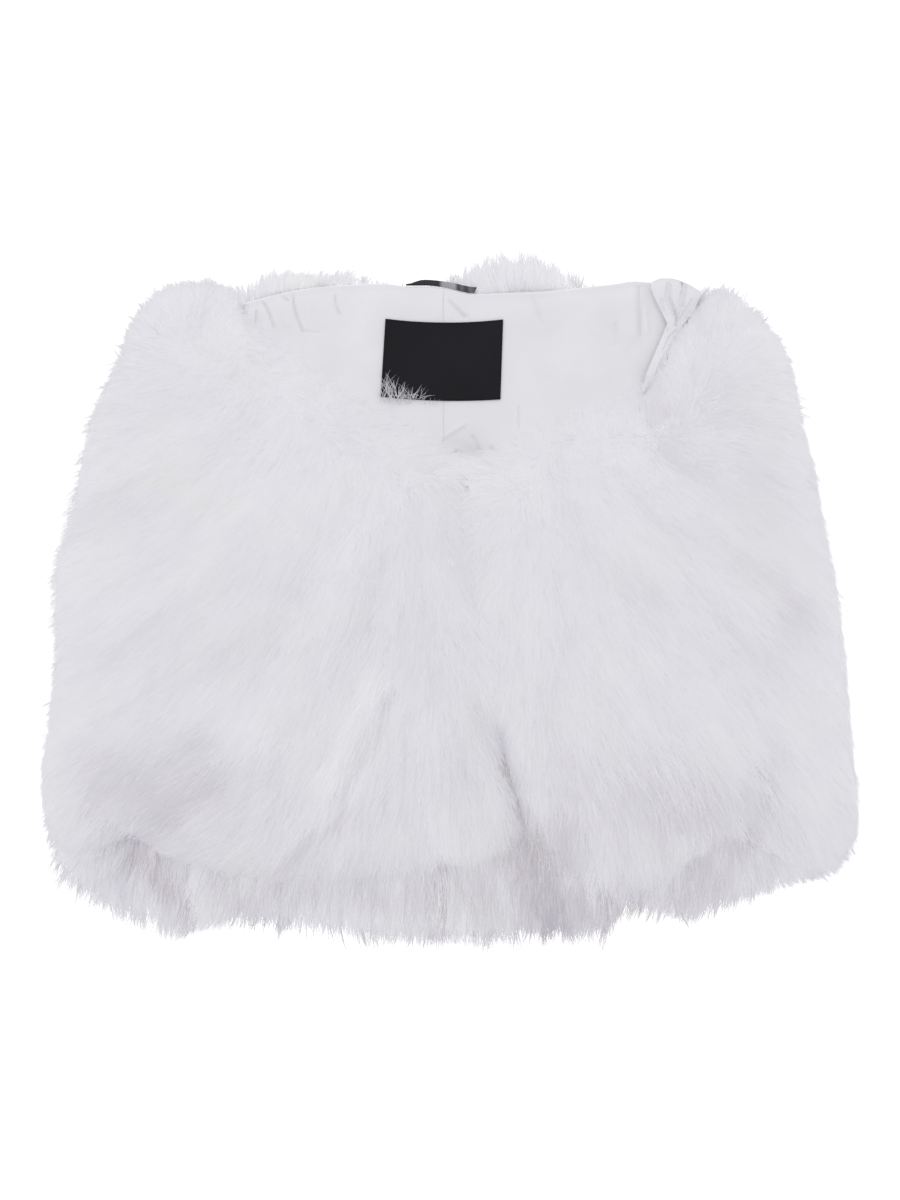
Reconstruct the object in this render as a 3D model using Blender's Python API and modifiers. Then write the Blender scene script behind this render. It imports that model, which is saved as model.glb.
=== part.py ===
"""Fur stole laid flat on its back, with both fronts folded over it and meeting at the centre front.

The stole rests on z = 0. +X runs from its left side fold to its right one as seen from above, +Y from the
hem to the neck, and +Z up. Tables and named lengths are in millimetres, and the meshes are made in metres.

Each fur panel is one closed solid of the reach of its pile: a loft of rings that follow the panel's outline,
from a flat underside round its edge and over its crown. An outline is a chain of edges, and each edge has a
kind, which says how the pile turns over there. The satin pieces are open sheets with a wall from Solidify.
"""

import bpy
import numpy as np

MM = 0.001

# Driving dimensions
GAP = 0.3
BACK_TOP = 24.0
FRONT_LOFT = 42.0
SATIN_WALL = 1.2
LABEL_WALL = 0.7
RIBBON_WALL = 0.8
RIBBON_WIDTH = 4.4
RIBBON_ARCH = 1.2
RIBBON_SEAT = 0.2
RIBBON_POINT = 0.25
RIBBON_SLANT = 2.0
LINING_MARGIN = 6.0
FACING_LOFT = 7.5
NECK_DROP = 2.8
NECK_DROP_START = 12.0
EDGE_STEP = 15.0

FRONT_BASE = BACK_TOP + GAP
FACING_BASE = FRONT_BASE + SATIN_WALL + GAP

# Where the back's pile lies lower to clear the lining's turned edge: how much, from and to where across, over
# what width it fades at each end, how far below the neck edge it starts, and over what length it comes.
CLEARANCE_DEPTH = 5.0
CLEARANCE_FROM = -176.0
CLEARANCE_TO = 204.0
CLEARANCE_FADE = 16.0
CLEARANCE_START = 26.0
CLEARANCE_RUN = 24.0

# The lining's folds start this far above its lower edge and come over this length.
LINING_FOLD_START = 8.0
LINING_FOLD_RUN = 16.0

# Lofts of the fur: where the underside's lip turns up, as shares of the lip and of the rim's height, the
# inset over which folds come in from the edge, and how far the crown goes on rising towards the middle.
LIP_SHARE = 0.3
LIP_RISE = 0.4
FOLD_INSET = 24.0
CROWN_INSET = 80.0

# How the pile turns over at an edge: how far in the flat underside starts, how high the widest line lies, and
# how far in the crown is reached.
EDGE_KINDS = {
    #             lip,  rim,  round
    "back_fold": (16.0, 20.0, 4.0),
    "back_hem": (10.0, 6.0, 44.0),
    "fringe": (9.0, 7.0, 30.0),
    "fold": (1.0, 3.0, 46.0),
    "neckline": (16.0, 9.0, 60.0),
    "join": (1.0, 31.0, 34.0),
    "slit": (9.0, 13.0, 30.0),
    "hem": (11.0, 14.0, 32.0),
    "roll": (2.0, 2.0, 9.0),
}

# Edges of the panels, as x and y of the points that their curves pass through.
EDGES = {
    "shoulder_left": (
        (-157, 226), (-180, 238), (-212, 234), (-235, 214), (-245, 186), (-263, 148), (-271, 108),
        (-279, 62), (-291, 30), (-294, -30), (-299, -90), (-304.6, -130), (-302, -168), (-292, -194),
    ),
    "shoulder_right": (
        (187, 227.5), (211, 229), (238, 206), (253, 182), (260, 148), (270, 108), (281, 52), (292, 0),
        (299, -70), (302, -125), (304.6, -155), (301, -180), (284, -201),
    ),
    "back_hem": (
        (-292, -194), (-262, -213), (-225, -230), (-197, -242), (-174, -233), (-140, -239), (-74, -247),
        (-7, -253.6), (59, -250), (111, -245), (130, -241), (146, -226), (185, -235), (222, -217),
        (260, -207), (284, -201),
    ),
    "neck_fringe": (
        (187, 227.5), (165, 230), (110, 229), (98, 238), (81, 248), (60, 253.6), (30, 252), (10, 242),
        (-20, 232), (-46, 231), (-60, 240), (-96, 246), (-141, 243), (-157, 226),
    ),
    "neckline_left": (
        (-157, 226), (-152, 200), (-121, 183), (-74, 148), (-37, 133), (-4, 111), (11, 104),
    ),
    "neckline_right": ((11, 104), (28, 107), (67, 126), (117, 144), (143, 154)),
    "facing_seam": (
        (143, 154), (152, 161), (160.5, 178), (163.5, 189), (172, 203), (180, 213), (187, 227.5),
    ),
    "facing_free": (
        (187, 227.5), (178, 234), (163, 239), (150, 236.5), (151, 226), (158, 212), (162.5, 200),
        (158.5, 190), (153, 180), (146, 169), (143, 154),
    ),
    "centre_front": ((11, 104), (22, 0), (33, -74)),
    "slit": ((33, -74), (41, -118), (57, -170)),
    "hem_left": (
        (57, -170), (36, -189), (-12, -203), (-81, -211), (-155, -208), (-205, -199), (-232, -180),
        (-250, -180), (-268, -198), (-292, -194),
    ),
    "hem_right": (
        (57, -170), (80, -188), (92, -210), (112, -220), (144, -216), (168, -208), (184, -193),
        (211, -178), (240, -187), (262, -199), (284, -201),
    ),
}

# Soft ridges (rise above 0) and troughs of the fronts, along a line from one point to another.
FRONT_FOLDS = (
    #  x0,   y0,   x1,   y1, half width, rise
    (192, 142, 155, 104, 20, -5.0),
    (246, 24, 250, -34, 18, -6.0),
    (-262, 60, -256, -146, 12, -4.5),
    (262, -40, 258, -170, 12, -4.5),
    (-226, -104, -196, -146, 30, 4.0),
    (-196, -78, -150, -120, 14, -4.0),
    (150, -150, 146, -186, 26, 4.0),
    (96, -70, 112, -150, 16, 3.0),
    (-40, -20, -104, -150, 13, -3.0),
    (-92, -30, -140, -110, 15, 3.0),
    (-128, 60, -150, 20, 34, 3.0),
    (-60, 52, 30, 62, 26, -3.0),
    (118, -6, 180, -24, 20, -3.0),
)

# Soft ridges and troughs of the lining, in the same columns.
LINING_FOLDS = (
    (-151, 224, -150, 196, 4.0, 2.4),
    (-137, 228, -131, 205, 4.5, 2.6),
    (-122, 230, -112, 199, 5.0, 2.8),
    (-101, 232, -97, 206, 6.0, 1.4),
    (-84, 233, -79, 210, 5.0, 1.8),
    (-72, 195, -6, 106, 6.0, 1.4),
    (50, 214, 70, 200, 5.5, 1.4),
    (122, 208, 129, 184, 5.0, -1.2),
    (136, 232, 134, 190, 6.0, 3.0),
)

# Pleats of the rolled satin edge, in the same columns.
FACING_PLEATS = (
    (164, 238, 165, 206, 3.0, -3.0),
    (174, 232, 166, 206, 2.6, -2.4),
    (157, 186, 160, 194, 3.0, -1.6),
)

# The neck edge of the lining, and its hidden lower edge without the margin.
NECK_EDGE = (
    (-166, 219), (-152, 221.5), (-130, 227), (-117, 230), (-98, 232.6), (-74, 234.4), (-50, 235.4),
    (-33, 233.4), (-15, 233.2), (0, 231.2), (16, 227.8), (40, 228.4), (70, 229.6), (104, 233),
    (124, 235.2), (137, 236.8), (152, 236.2), (163, 238.3), (174, 235.6), (183, 230.4), (189, 226),
)
LOWER_EDGE = (
    (-160, 221), (-154, 210), (-148, 199), (-121, 182), (-74, 147), (-37, 132), (-4, 112), (11, 108),
    (28, 110), (67, 127), (117, 144), (140, 155), (152, 172), (160, 192), (170, 208), (180, 220), (189, 231),
)
SEAM_X = -5.0

# Corners of the label: x and y, from its lower left one anticlockwise, and how far its long edges bow down.
LABEL_CORNERS = ((-51.5, 151), (37.5, 149), (39.5, 208.5), (-48, 209))
LABEL_BOW = (2.0, 2.6)

LOOP_LEFT, LOOP_RIGHT = -33.0, 18.0


def curve_through(points, step=EDGE_STEP):
    """Points about a step apart on the Catmull-Rom curve through the given ones, with both ends."""
    p = np.array(points, float)
    p = np.vstack([2 * p[0] - p[1], p, 2 * p[-1] - p[-2]])
    pieces = []
    for a, b, c, d in zip(p, p[1:], p[2:], p[3:]):
        count = max(1, int(round(np.linalg.norm(c - b) / step)))
        t = (np.arange(count) / count)[:, None]
        bend = (2 * a - 5 * b + 4 * c - d) * t**2 + (3 * b - a - 3 * c + d) * t**3
        pieces.append(b + 0.5 * ((c - a) * t + bend))
    return np.vstack(pieces + [p[-2:-1]])


def smooth_step(t):
    """0 below 0, 1 above 1, and level at both ends."""
    t = np.clip(t, 0.0, 1.0)
    return t * t * (3 - 2 * t)


def folds_at(x, y, folds):
    """Sum of the soft ridges and troughs at the points x, y."""
    total = np.zeros(np.shape(x))
    for x0, y0, x1, y1, half_width, rise in folds:
        along = np.array([x1 - x0, y1 - y0], float)
        t = ((x - x0) * along[0] + (y - y0) * along[1]) / (along @ along)
        t = np.clip(t, 0.0, 1.0)
        away = np.hypot(x - x0 - t * along[0], y - y0 - t * along[1])
        total = total + rise * np.exp(-((away / half_width) ** 2))
    return total


def neck_y(x):
    """The y of the lining's neck edge at x."""
    edge = curve_through(NECK_EDGE, 4.0)
    return np.interp(x, edge[:, 0], edge[:, 1])


def lower_y(x):
    """The y of the lining's hidden lower edge at x."""
    edge = curve_through(LOWER_EDGE, 6.0)
    return np.interp(x, edge[:, 0], edge[:, 1] - LINING_MARGIN)


def neck_drop(x, y):
    """How far the neck edge turns down: nothing until the start of the turn, and all of it at the edge."""
    return NECK_DROP * smooth_step((y - neck_y(x) + NECK_DROP_START) / NECK_DROP_START)


def back_ceiling(x, y):
    """The highest that the back's fur may reach at x, y, which clears the lining where it turns down."""
    across = smooth_step((x - CLEARANCE_FROM) / CLEARANCE_FADE)
    across = across * smooth_step((CLEARANCE_TO - x) / CLEARANCE_FADE)
    along = smooth_step((y - neck_y(x) + CLEARANCE_START) / CLEARANCE_RUN)
    return BACK_TOP - CLEARANCE_DEPTH * across * along


def lining_height(x, y):
    """The height of the lining's underside."""
    fade = smooth_step((y - lower_y(x) - LINING_FOLD_START) / LINING_FOLD_RUN)
    return FRONT_BASE + fade * np.maximum(folds_at(x, y, LINING_FOLDS), 0.0) - neck_drop(x, y)


class Outline:
    """A closed chain of edges, anticlockwise, with the lip, rim and round of its pile at each point."""

    def __init__(self, edges, shift=None, step=EDGE_STEP):
        points, kinds = [], []
        for name, backwards, kind in edges:
            edge = curve_through(EDGES[name], step)
            if backwards:
                edge = edge[::-1]
            if shift and name in shift:
                edge = edge + shift[name]
            points.append(edge[:-1])
            kinds += [EDGE_KINDS[kind]] * (len(edge) - 1)
        self.points = np.vstack(points)
        kinds = np.array(kinds, float)
        self.lip, self.rim, self.round = self.evened(kinds).T

    @staticmethod
    def evened(values, reach=2):
        """Each row averaged with its neighbours round the loop."""
        shifts = range(-reach, reach + 1)
        return sum(np.roll(values, k, axis=0) for k in shifts) / len(shifts)

    def inward(self, heart, spread):
        """Unit vectors from each point towards a smaller copy of the outline about the heart."""
        heart = np.array(heart, float)
        aim = heart + spread * (self.points - heart) - self.points
        return aim / np.linalg.norm(aim, axis=1)[:, None]


def fur_rings(outline, heart, spread, base, loft, insets, fractions, folds=(), ceiling=None):
    """The rings of a fur panel, from its underside to the ring next to the middle of its crown."""
    inward = outline.inward(heart, spread)

    def top_height(x, y, inset):
        turn = np.clip(1 - inset / outline.round, 0.0, 1.0)
        height = outline.rim + (loft - outline.rim) * np.sqrt(1 - turn**2)
        height = base + height + folds_at(x, y, folds) * smooth_step(inset / FOLD_INSET)
        if ceiling is None:
            return height
        return np.minimum(height, ceiling(x, y))

    def ring(inset, height=None):
        xy = outline.points + inward * np.broadcast_to(inset, len(inward))[:, None]
        z = top_height(*xy.T, inset) if height is None else height
        return np.column_stack([xy, np.broadcast_to(z, len(xy))])

    rings = [
        ring(outline.lip, base),
        ring(outline.lip * LIP_SHARE, base + outline.rim * LIP_RISE),
        ring(0.0, base + outline.rim),
    ]
    rings += [ring(inset) for inset in insets]
    edge = rings[-1][:, :2]
    for fraction in fractions:
        xy = edge + fraction * (np.array(heart, float) - edge)
        inset = np.full(len(xy), insets[-1] + fraction * CROWN_INSET)
        rings.append(np.column_stack([xy, top_height(*xy.T, inset)]))
    return rings


def link(collection, name, vertices, faces, material):
    """A new mesh object, from vertices in millimetres."""
    mesh = bpy.data.meshes.new(name)
    mesh.from_pydata([tuple(v) for v in np.asarray(vertices) * MM], [], faces)
    mesh.validate()
    mesh.materials.append(material)
    mesh.shade_smooth()
    piece = bpy.data.objects.new(name, mesh)
    collection.objects.link(piece)
    return piece


def lofted(collection, name, rings, heart, material):
    """A closed solid through the rings: flat below, and closed above at the heart or by a flat face."""
    count = len(rings[0])
    faces = [tuple(range(count - 1, -1, -1))]
    for level in range(len(rings) - 1):
        low, high = level * count, (level + 1) * count
        for i in range(count):
            j = (i + 1) % count
            faces.append((low + i, low + j, high + j, high + i))
    last = (len(rings) - 1) * count
    vertices = np.vstack(rings)
    if heart is None:
        faces.append(tuple(range(last, last + count)))
    else:
        vertices = np.vstack([vertices, [*heart, rings[-1][:, 2].mean()]])
        faces += [(last + i, last + (i + 1) % count, len(vertices) - 1) for i in range(count)]
    return link(collection, name, vertices, faces, material)


def sheet(collection, name, grid, wall, material):
    """An open sheet over a grid of points, rows by columns, thickened upwards by Solidify."""
    rows, columns = grid.shape[:2]
    faces = []
    for r in range(rows - 1):
        for c in range(columns - 1):
            corner = r * columns + c
            faces.append((corner, corner + 1, corner + columns + 1, corner + columns))
    piece = link(collection, name, grid.reshape(-1, 3), faces, material)
    solidify = piece.modifiers.new("Wall", "SOLIDIFY")
    solidify.thickness = wall * MM
    solidify.offset = 1.0
    return piece


def finish(name, colour, roughness, sheen=0.0):
    """A plain material."""
    material = bpy.data.materials.new(name)
    material.use_nodes = True
    shader = material.node_tree.nodes["Principled BSDF"]
    shader.inputs["Base Color"].default_value = (*colour, 1.0)
    shader.inputs["Roughness"].default_value = roughness
    shader.inputs["Metallic"].default_value = 0.0
    shader.inputs["Sheen Weight"].default_value = sheen
    return material


def back_fur(collection):
    """The back, from fold to fold: flat under the fronts, fringed at the neck, with a low hem that shows."""
    outline = Outline((
        ("shoulder_left", False, "back_fold"),
        ("back_hem", False, "back_hem"),
        ("shoulder_right", True, "back_fold"),
        ("neck_fringe", False, "fringe"),
    ))
    rings = fur_rings(outline, (0, 0), 0.5, 0.0, BACK_TOP, (3, 8, 15, 24, 36, 54), (), ceiling=back_ceiling)
    return lofted(collection, "back_fur", rings, None, finish("back fur", (0.80, 0.79, 0.82), 0.9, 0.3))


def front_fur(collection, side, edges, shift, heart):
    """One front, from its side fold to the centre front."""
    outline = Outline(edges, shift)
    insets, fractions = (2, 7, 15, 27, 42), (0.18, 0.38, 0.58, 0.8)
    rings = fur_rings(outline, heart, 0.45, FRONT_BASE, FRONT_LOFT, insets, fractions, FRONT_FOLDS)
    material = finish(f"front {side} fur", (0.82, 0.81, 0.84), 0.9, 0.3)
    return lofted(collection, f"front_{side}_fur", rings, heart, material)


def lining(collection, side, x_from, x_to, columns):
    """One half of the satin yoke, gathered at the neck edge, which turns down."""
    x = np.linspace(x_from, x_to, columns)
    t = np.array((0, 0.14, 0.28, 0.42, 0.54, 0.65, 0.75, 0.83, 0.9, 0.955, 1.0))[:, None]
    y = lower_y(x) + t * (neck_y(x) - lower_y(x))
    x = np.broadcast_to(x, y.shape)
    grid = np.dstack([x, y, lining_height(x, y)])
    satin = finish(f"back lining {side}", (0.84, 0.84, 0.86), 0.35)
    return sheet(collection, f"back_lining_{side}", grid, SATIN_WALL, satin)


def front_right_facing(collection):
    """The satin edge of the right front, rolled outwards, pleated at the neck and narrow below."""
    shift = {"facing_seam": (-GAP / 2, 0.0), "facing_free": (-GAP / 2, 0.0)}
    outline = Outline((("facing_seam", False, "roll"), ("facing_free", False, "roll")), shift, 7.0)
    rings = fur_rings(outline, (165, 214), 0.6, FACING_BASE, FACING_LOFT, (1.0, 2.4, 4.0), (), FACING_PLEATS)
    satin = finish("front right facing", (0.86, 0.86, 0.88), 0.35)
    return lofted(collection, "front_right_facing", rings, (165, 214), satin)


def neck_label(collection):
    """The label, laid on the lining and bowed along its long edges."""
    u, v = np.meshgrid(np.linspace(0, 1, 9), np.linspace(0, 1, 7))
    low_left, low_right, high_right, high_left = np.array(LABEL_CORNERS, float)
    low = low_left + u[..., None] * (low_right - low_left)
    high = high_left + u[..., None] * (high_right - high_left)
    xy = low + v[..., None] * (high - low)
    bow = LABEL_BOW[0] + v * (LABEL_BOW[1] - LABEL_BOW[0])
    x, y = xy[..., 0], xy[..., 1] - bow * 4 * u * (1 - u)
    z = lining_height(x, y) + SATIN_WALL + 2 * GAP
    black = finish("neck label", (0.02, 0.02, 0.024), 0.45)
    return sheet(collection, "neck_label", np.dstack([x, y, z]), LABEL_WALL, black)


def hanger_loop(collection):
    """The ribbon loop, arched along the neck edge and pointed at its left end."""
    x = np.linspace(LOOP_LEFT, LOOP_RIGHT, 15)
    t = (x - LOOP_LEFT) / (LOOP_RIGHT - LOOP_LEFT)
    width = RIBBON_WIDTH * (RIBBON_POINT + (1.0 - RIBBON_POINT) * smooth_step(t / RIBBON_POINT))
    across = np.array((0.0, 1.0))[:, None]
    y = neck_y(x) + 2 * GAP + across * width
    x = np.broadcast_to(x, y.shape) + across * RIBBON_SLANT * t
    z = np.full(y.shape, FRONT_BASE - NECK_DROP + RIBBON_SEAT) + RIBBON_ARCH * np.sin(np.pi * t)
    ribbon = finish("hanger loop", (0.03, 0.03, 0.035), 0.3)
    return sheet(collection, "hanger_loop", np.dstack([x, y, z]), RIBBON_WALL, ribbon)


def build():
    """Clears the scene and makes the eight pieces."""
    for old in list(bpy.data.objects):
        bpy.data.objects.remove(old, do_unlink=True)
    stole = bpy.data.collections.new("fur_stole")
    bpy.context.scene.collection.children.link(stole)

    back_fur(stole)
    left_edges = (
        ("shoulder_left", False, "fold"),
        ("hem_left", True, "hem"),
        ("slit", True, "slit"),
        ("centre_front", True, "join"),
        ("neckline_left", True, "neckline"),
    )
    front_shift = {name: (-GAP / 2, 0.0) for name in ("slit", "centre_front", "neckline_left")}
    front_fur(stole, "left", left_edges, front_shift, (-128, 6))
    right_edges = (
        ("shoulder_right", True, "fold"),
        ("facing_seam", True, "neckline"),
        ("neckline_right", True, "neckline"),
        ("centre_front", False, "join"),
        ("slit", False, "slit"),
        ("hem_right", False, "hem"),
    )
    front_shift = {name: (GAP / 2, 0.0) for name in ("slit", "centre_front", "hem_right", "facing_seam")}
    front_fur(stole, "right", right_edges, front_shift, (150, -8))
    lining(stole, "left", -154.0, SEAM_X - GAP / 2, 26)
    lining(stole, "right", SEAM_X + GAP / 2, 184.0, 30)
    front_right_facing(stole)
    neck_label(stole)
    hanger_loop(stole)


build()
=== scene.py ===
"""Looks of a white fur stole laid flat: pile, skins, satin lining, neck label and hanger loop."""

import logging
import math
from collections.abc import Callable
from dataclasses import dataclass
from enum import Enum
from typing import Any

import bpy
import numpy as np
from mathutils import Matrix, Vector
from numpy.typing import NDArray


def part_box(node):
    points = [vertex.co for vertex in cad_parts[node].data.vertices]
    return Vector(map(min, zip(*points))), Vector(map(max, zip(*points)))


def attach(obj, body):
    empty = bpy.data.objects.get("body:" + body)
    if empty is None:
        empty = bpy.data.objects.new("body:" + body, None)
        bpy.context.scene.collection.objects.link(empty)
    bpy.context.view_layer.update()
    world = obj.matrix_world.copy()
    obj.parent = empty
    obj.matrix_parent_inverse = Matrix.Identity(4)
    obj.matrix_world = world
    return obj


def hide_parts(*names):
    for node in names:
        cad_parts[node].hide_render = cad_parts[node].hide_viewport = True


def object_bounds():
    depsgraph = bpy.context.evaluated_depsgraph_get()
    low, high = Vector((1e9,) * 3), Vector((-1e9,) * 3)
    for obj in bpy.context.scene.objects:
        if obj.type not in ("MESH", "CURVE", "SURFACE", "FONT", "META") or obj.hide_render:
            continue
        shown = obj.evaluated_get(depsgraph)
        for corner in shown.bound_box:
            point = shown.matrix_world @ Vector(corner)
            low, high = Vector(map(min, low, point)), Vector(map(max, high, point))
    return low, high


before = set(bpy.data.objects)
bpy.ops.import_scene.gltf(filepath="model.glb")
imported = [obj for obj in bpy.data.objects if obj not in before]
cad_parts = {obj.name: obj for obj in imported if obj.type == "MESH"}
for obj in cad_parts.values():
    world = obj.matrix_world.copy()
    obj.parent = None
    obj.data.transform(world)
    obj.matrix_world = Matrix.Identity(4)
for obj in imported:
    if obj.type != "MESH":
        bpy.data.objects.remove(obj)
cad_low, cad_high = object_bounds()

Array = NDArray[Any]
Table = tuple[tuple[float, ...], ...]
Measure = Callable[[Array, Array], Array]
Colour = tuple[float, float, float]
Stops = tuple[tuple[float, Colour], ...]

MM = 0.001
# how far a table's row reaches when rows are blended (mm): for a rim, for a lie and for the hair's length
RIM_SPREAD = 12.0
LIE_SPREAD = 28.0
LENGTH_SPREAD = 30.0

log = logging.getLogger("stole")


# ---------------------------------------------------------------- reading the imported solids


@dataclass(frozen=True)
class Solid:
    """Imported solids, read as triangles."""

    triangles: Array

    @classmethod
    def of(cls, *nodes: str) -> "Solid":
        """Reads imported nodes.

        Args:
            *nodes: Their names.

        Returns:
            Their triangles together, as (count, 3 corners, 3 coordinates) in metres.
        """
        read = []
        for node in nodes:
            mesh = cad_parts[node].data
            mesh.calc_loop_triangles()
            points = np.empty(len(mesh.vertices) * 3, np.float32)
            mesh.vertices.foreach_get("co", points)
            corners = np.empty(len(mesh.loop_triangles) * 3, np.int32)
            mesh.loop_triangles.foreach_get("vertices", corners)
            read.append(points.reshape(-1, 3)[corners.reshape(-1, 3)].astype(float))
        return cls(np.concatenate(read))

    def crossings(self, origin: Array, way: Array, beside: Array) -> tuple[Array, Array]:
        """Where straight lines cross the triangles' edges, seen from above.

        An edge crosses a line where its two ends lie on either side of it. The crossing is the edge's
        point there, measured along the line.

        Args:
            origin: The point that lines are measured from, in metres.
            way: Direction of each line, one row each.
            beside: How far each line passes to the left of the origin, one row each.

        Returns:
            Whether each line crosses each edge, and how far along the line, in metres.
        """
        corners = self.triangles[..., :2] - origin
        start, end = corners.reshape(-1, 2), np.roll(corners, -1, axis=1).reshape(-1, 2)
        side_a, side_b = (way[:, :1] * p[:, 1] - way[:, 1:] * p[:, 0] - beside for p in (start, end))
        share = side_a / np.where(side_a == side_b, 1.0, side_a - side_b)
        along = way @ start.T
        return side_a * side_b <= 0.0, along + share * (way @ end.T - along)

    def reach(self, heart: Array, turns: Array) -> Array:
        """Distance from the heart to the outline along each ray, which is its furthest crossing.

        Args:
            heart: A point inside the outline, in metres.
            turns: Angles of the rays, in radians.

        Returns:
            One distance for each ray, in metres.
        """
        met, along = self.crossings(heart, rays(turns), np.zeros((1, 1)))
        return np.where(met, along, 0.0).max(axis=1)

    def span(self, places: Array, axis: int) -> tuple[Array, Array]:
        """Lowest and highest crossing of the outline with lines across it.

        Args:
            places: Where the lines stand, along the given axis, in metres.
            axis: 0 for lines of constant x, 1 for lines of constant y.

        Returns:
            The lowest and the highest crossing on each line, along the other axis.
        """
        way = np.tile(((0.0, 1.0), (1.0, 0.0))[axis], (len(places), 1))
        met, along = self.crossings(np.zeros(2), way, places[:, None] * (-1.0, 1.0)[axis])
        return np.where(met, along, np.inf).min(axis=1), np.where(met, along, -np.inf).max(axis=1)


class Crown:
    """Heights of the top of some solids on a square grid of cells."""

    CELL = 2.5 * MM
    BORDER = 30 * MM
    STEPS = 26
    LARGE = 50.0 * MM

    def __init__(self, solids: list[Solid], soften: int = 0, empty: float = 0.0) -> None:
        """Fills the cells, of which the highest counts where solids lie on each other.

        Args:
            solids: The solids to read.
            soften: How many times each cell is averaged with its eight neighbours.
            empty: The height where no solid lies, in metres.
        """
        self.low = np.array([cad_low.x, cad_low.y]) - self.BORDER
        size = np.array([cad_high.x, cad_high.y]) + self.BORDER - self.low
        self.shape = tuple(np.ceil(size / self.CELL).astype(int) + 1)
        total = np.max([self.top(solid, soften) for solid in solids], axis=0)
        self.heights = np.where(np.isfinite(total), total, empty)

    @staticmethod
    def samples(triangles: Array, count: int) -> Array:
        """Evenly spread points on triangles, count steps along each side.

        Args:
            triangles: Triangles as (count, 3 corners, 3 coordinates).
            count: Steps along a side.

        Returns:
            The points, in one list.
        """
        steps = np.arange(count + 1)
        first, second = np.meshgrid(steps, steps, indexing="ij")
        kept = first + second <= count
        weights = np.stack([first[kept], second[kept], count - first[kept] - second[kept]], axis=1) / count
        return np.einsum("sc,tcx->tsx", weights, triangles).reshape(-1, 3)

    def top(self, solid: Solid, soften: int) -> Array:
        """Mean heights of one solid's top.

        Each triangle that faces up is sampled at evenly spread points, four times as close where it is
        large, and a cell takes the mean height of its samples. A cell that no sample met takes the mean of
        its neighbours.

        Args:
            solid: The solid to read.
            soften: How many times the cells are averaged with their neighbours.

        Returns:
            One height for each cell, minus infinity where the solid has none.
        """
        sides = solid.triangles[:, 1:] - solid.triangles[:, :1]
        upper = solid.triangles[np.cross(sides[:, 0], sides[:, 1])[:, 2] > 1e-9]
        large = np.linalg.norm(np.roll(upper, 1, axis=1) - upper, axis=2).max(axis=1) > self.LARGE
        fine, coarse = self.samples(upper[~large], self.STEPS), self.samples(upper[large], self.STEPS * 4)
        points = np.concatenate([fine, coarse])
        cells = np.round((points[:, :2] - self.low) / self.CELL).astype(int)
        index = np.ravel_multi_index((cells[:, 0], cells[:, 1]), self.shape)
        count, summed = (
            np.bincount(index, weights=weights, minlength=math.prod(self.shape)).reshape(self.shape)
            for weights in (None, points[:, 2])
        )
        held = (count > 0).astype(float)
        heights = summed / np.maximum(count, 1)
        for _ in range(2):
            nearby = around(held)
            missed = (held == 0.0) & (nearby > 0.5)
            heights = np.where(missed, around(heights * held) / np.maximum(nearby, 1e-9), heights)
            held = np.where(missed, 1.0, held)
        for _ in range(soften):
            heights = held * around(heights * held) / np.maximum(around(held), 1e-9)
        return np.where(held > 0.0, heights, -np.inf)

    def at(self, x: Array, y: Array) -> Array:
        """Height at each place, in metres, blended from the cells round it."""
        return blend(self.heights, (x - self.low[0]) / self.CELL, (y - self.low[1]) / self.CELL)


@dataclass(frozen=True)
class Outline:
    """An outline seen from a heart inside it, as one distance for each of many rays."""

    TURNS = np.linspace(-np.pi, np.pi, 721)

    heart: Array
    reach: Array

    @classmethod
    def of(cls, solid: Solid, heart: tuple[float, float], rim: Table = ()) -> "Outline":
        """Reads a solid's outline, moved outwards where asked.

        Args:
            solid: The solid.
            heart: A point inside its outline, in millimetres.
            rim: Rows of x, y, an inset that isn't used here, and how far out the outline moves, in mm.

        Returns:
            The outline.
        """
        middle = np.array(heart) * MM
        reach = solid.reach(middle, cls.TURNS)
        if rim:
            ends = middle + reach[:, None] * rays(cls.TURNS)
            reach = reach + near(rim, ends[:, 0], ends[:, 1], RIM_SPREAD)[:, 1] * MM
        return cls(middle, reach)

    def outside(self, x: Array, y: Array) -> Array:
        """How far each place lies outside the outline, along its ray, in metres."""
        out_x, out_y = x - self.heart[0], y - self.heart[1]
        return np.hypot(out_x, out_y) - np.interp(np.arctan2(out_y, out_x), self.TURNS, self.reach)


# ---------------------------------------------------------------- arrays and meshes


def around(cells: Array) -> Array:
    """Each cell averaged with its eight neighbours, the border taken as repeated.

    Args:
        cells: The grid.

    Returns:
        The averaged grid.
    """
    padded = np.pad(cells, 1, mode="edge")
    rows = padded[:-2] + padded[1:-1] + padded[2:]
    return (rows[:, :-2] + rows[:, 1:-1] + rows[:, 2:]) / 9.0


def blend(cells: Array, column: Array, row: Array) -> Array:
    """Values of a grid, each blended from the four cells round its place.

    Args:
        cells: The grid.
        column: Places along its first axis, in cells.
        row: Places along its second axis, in cells.

    Returns:
        One value for each place.
    """
    column = np.clip(column, 0.0, cells.shape[0] - 1.001)
    row = np.clip(row, 0.0, cells.shape[1] - 1.001)
    i, j = column.astype(int), row.astype(int)
    u, v = column - i, row - j
    first = cells[i, j] * (1 - u) + cells[i + 1, j] * u
    second = cells[i, j + 1] * (1 - u) + cells[i + 1, j + 1] * u
    return first * (1 - v) + second * v


def unit(vectors: Array) -> Array:
    """Vectors brought to length one, along the last axis."""
    return vectors / np.maximum(np.linalg.norm(vectors, axis=-1, keepdims=True), 1e-12)


def dot(first: Array, second: Array) -> Array:
    """Dot product along the last axis, which is kept with length one."""
    return (first * second).sum(axis=-1, keepdims=True)


def rays(turns: Array) -> Array:
    """Directions of length one at the given angles, in radians, one row each."""
    return np.stack([np.cos(turns), np.sin(turns)], axis=1)


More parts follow.
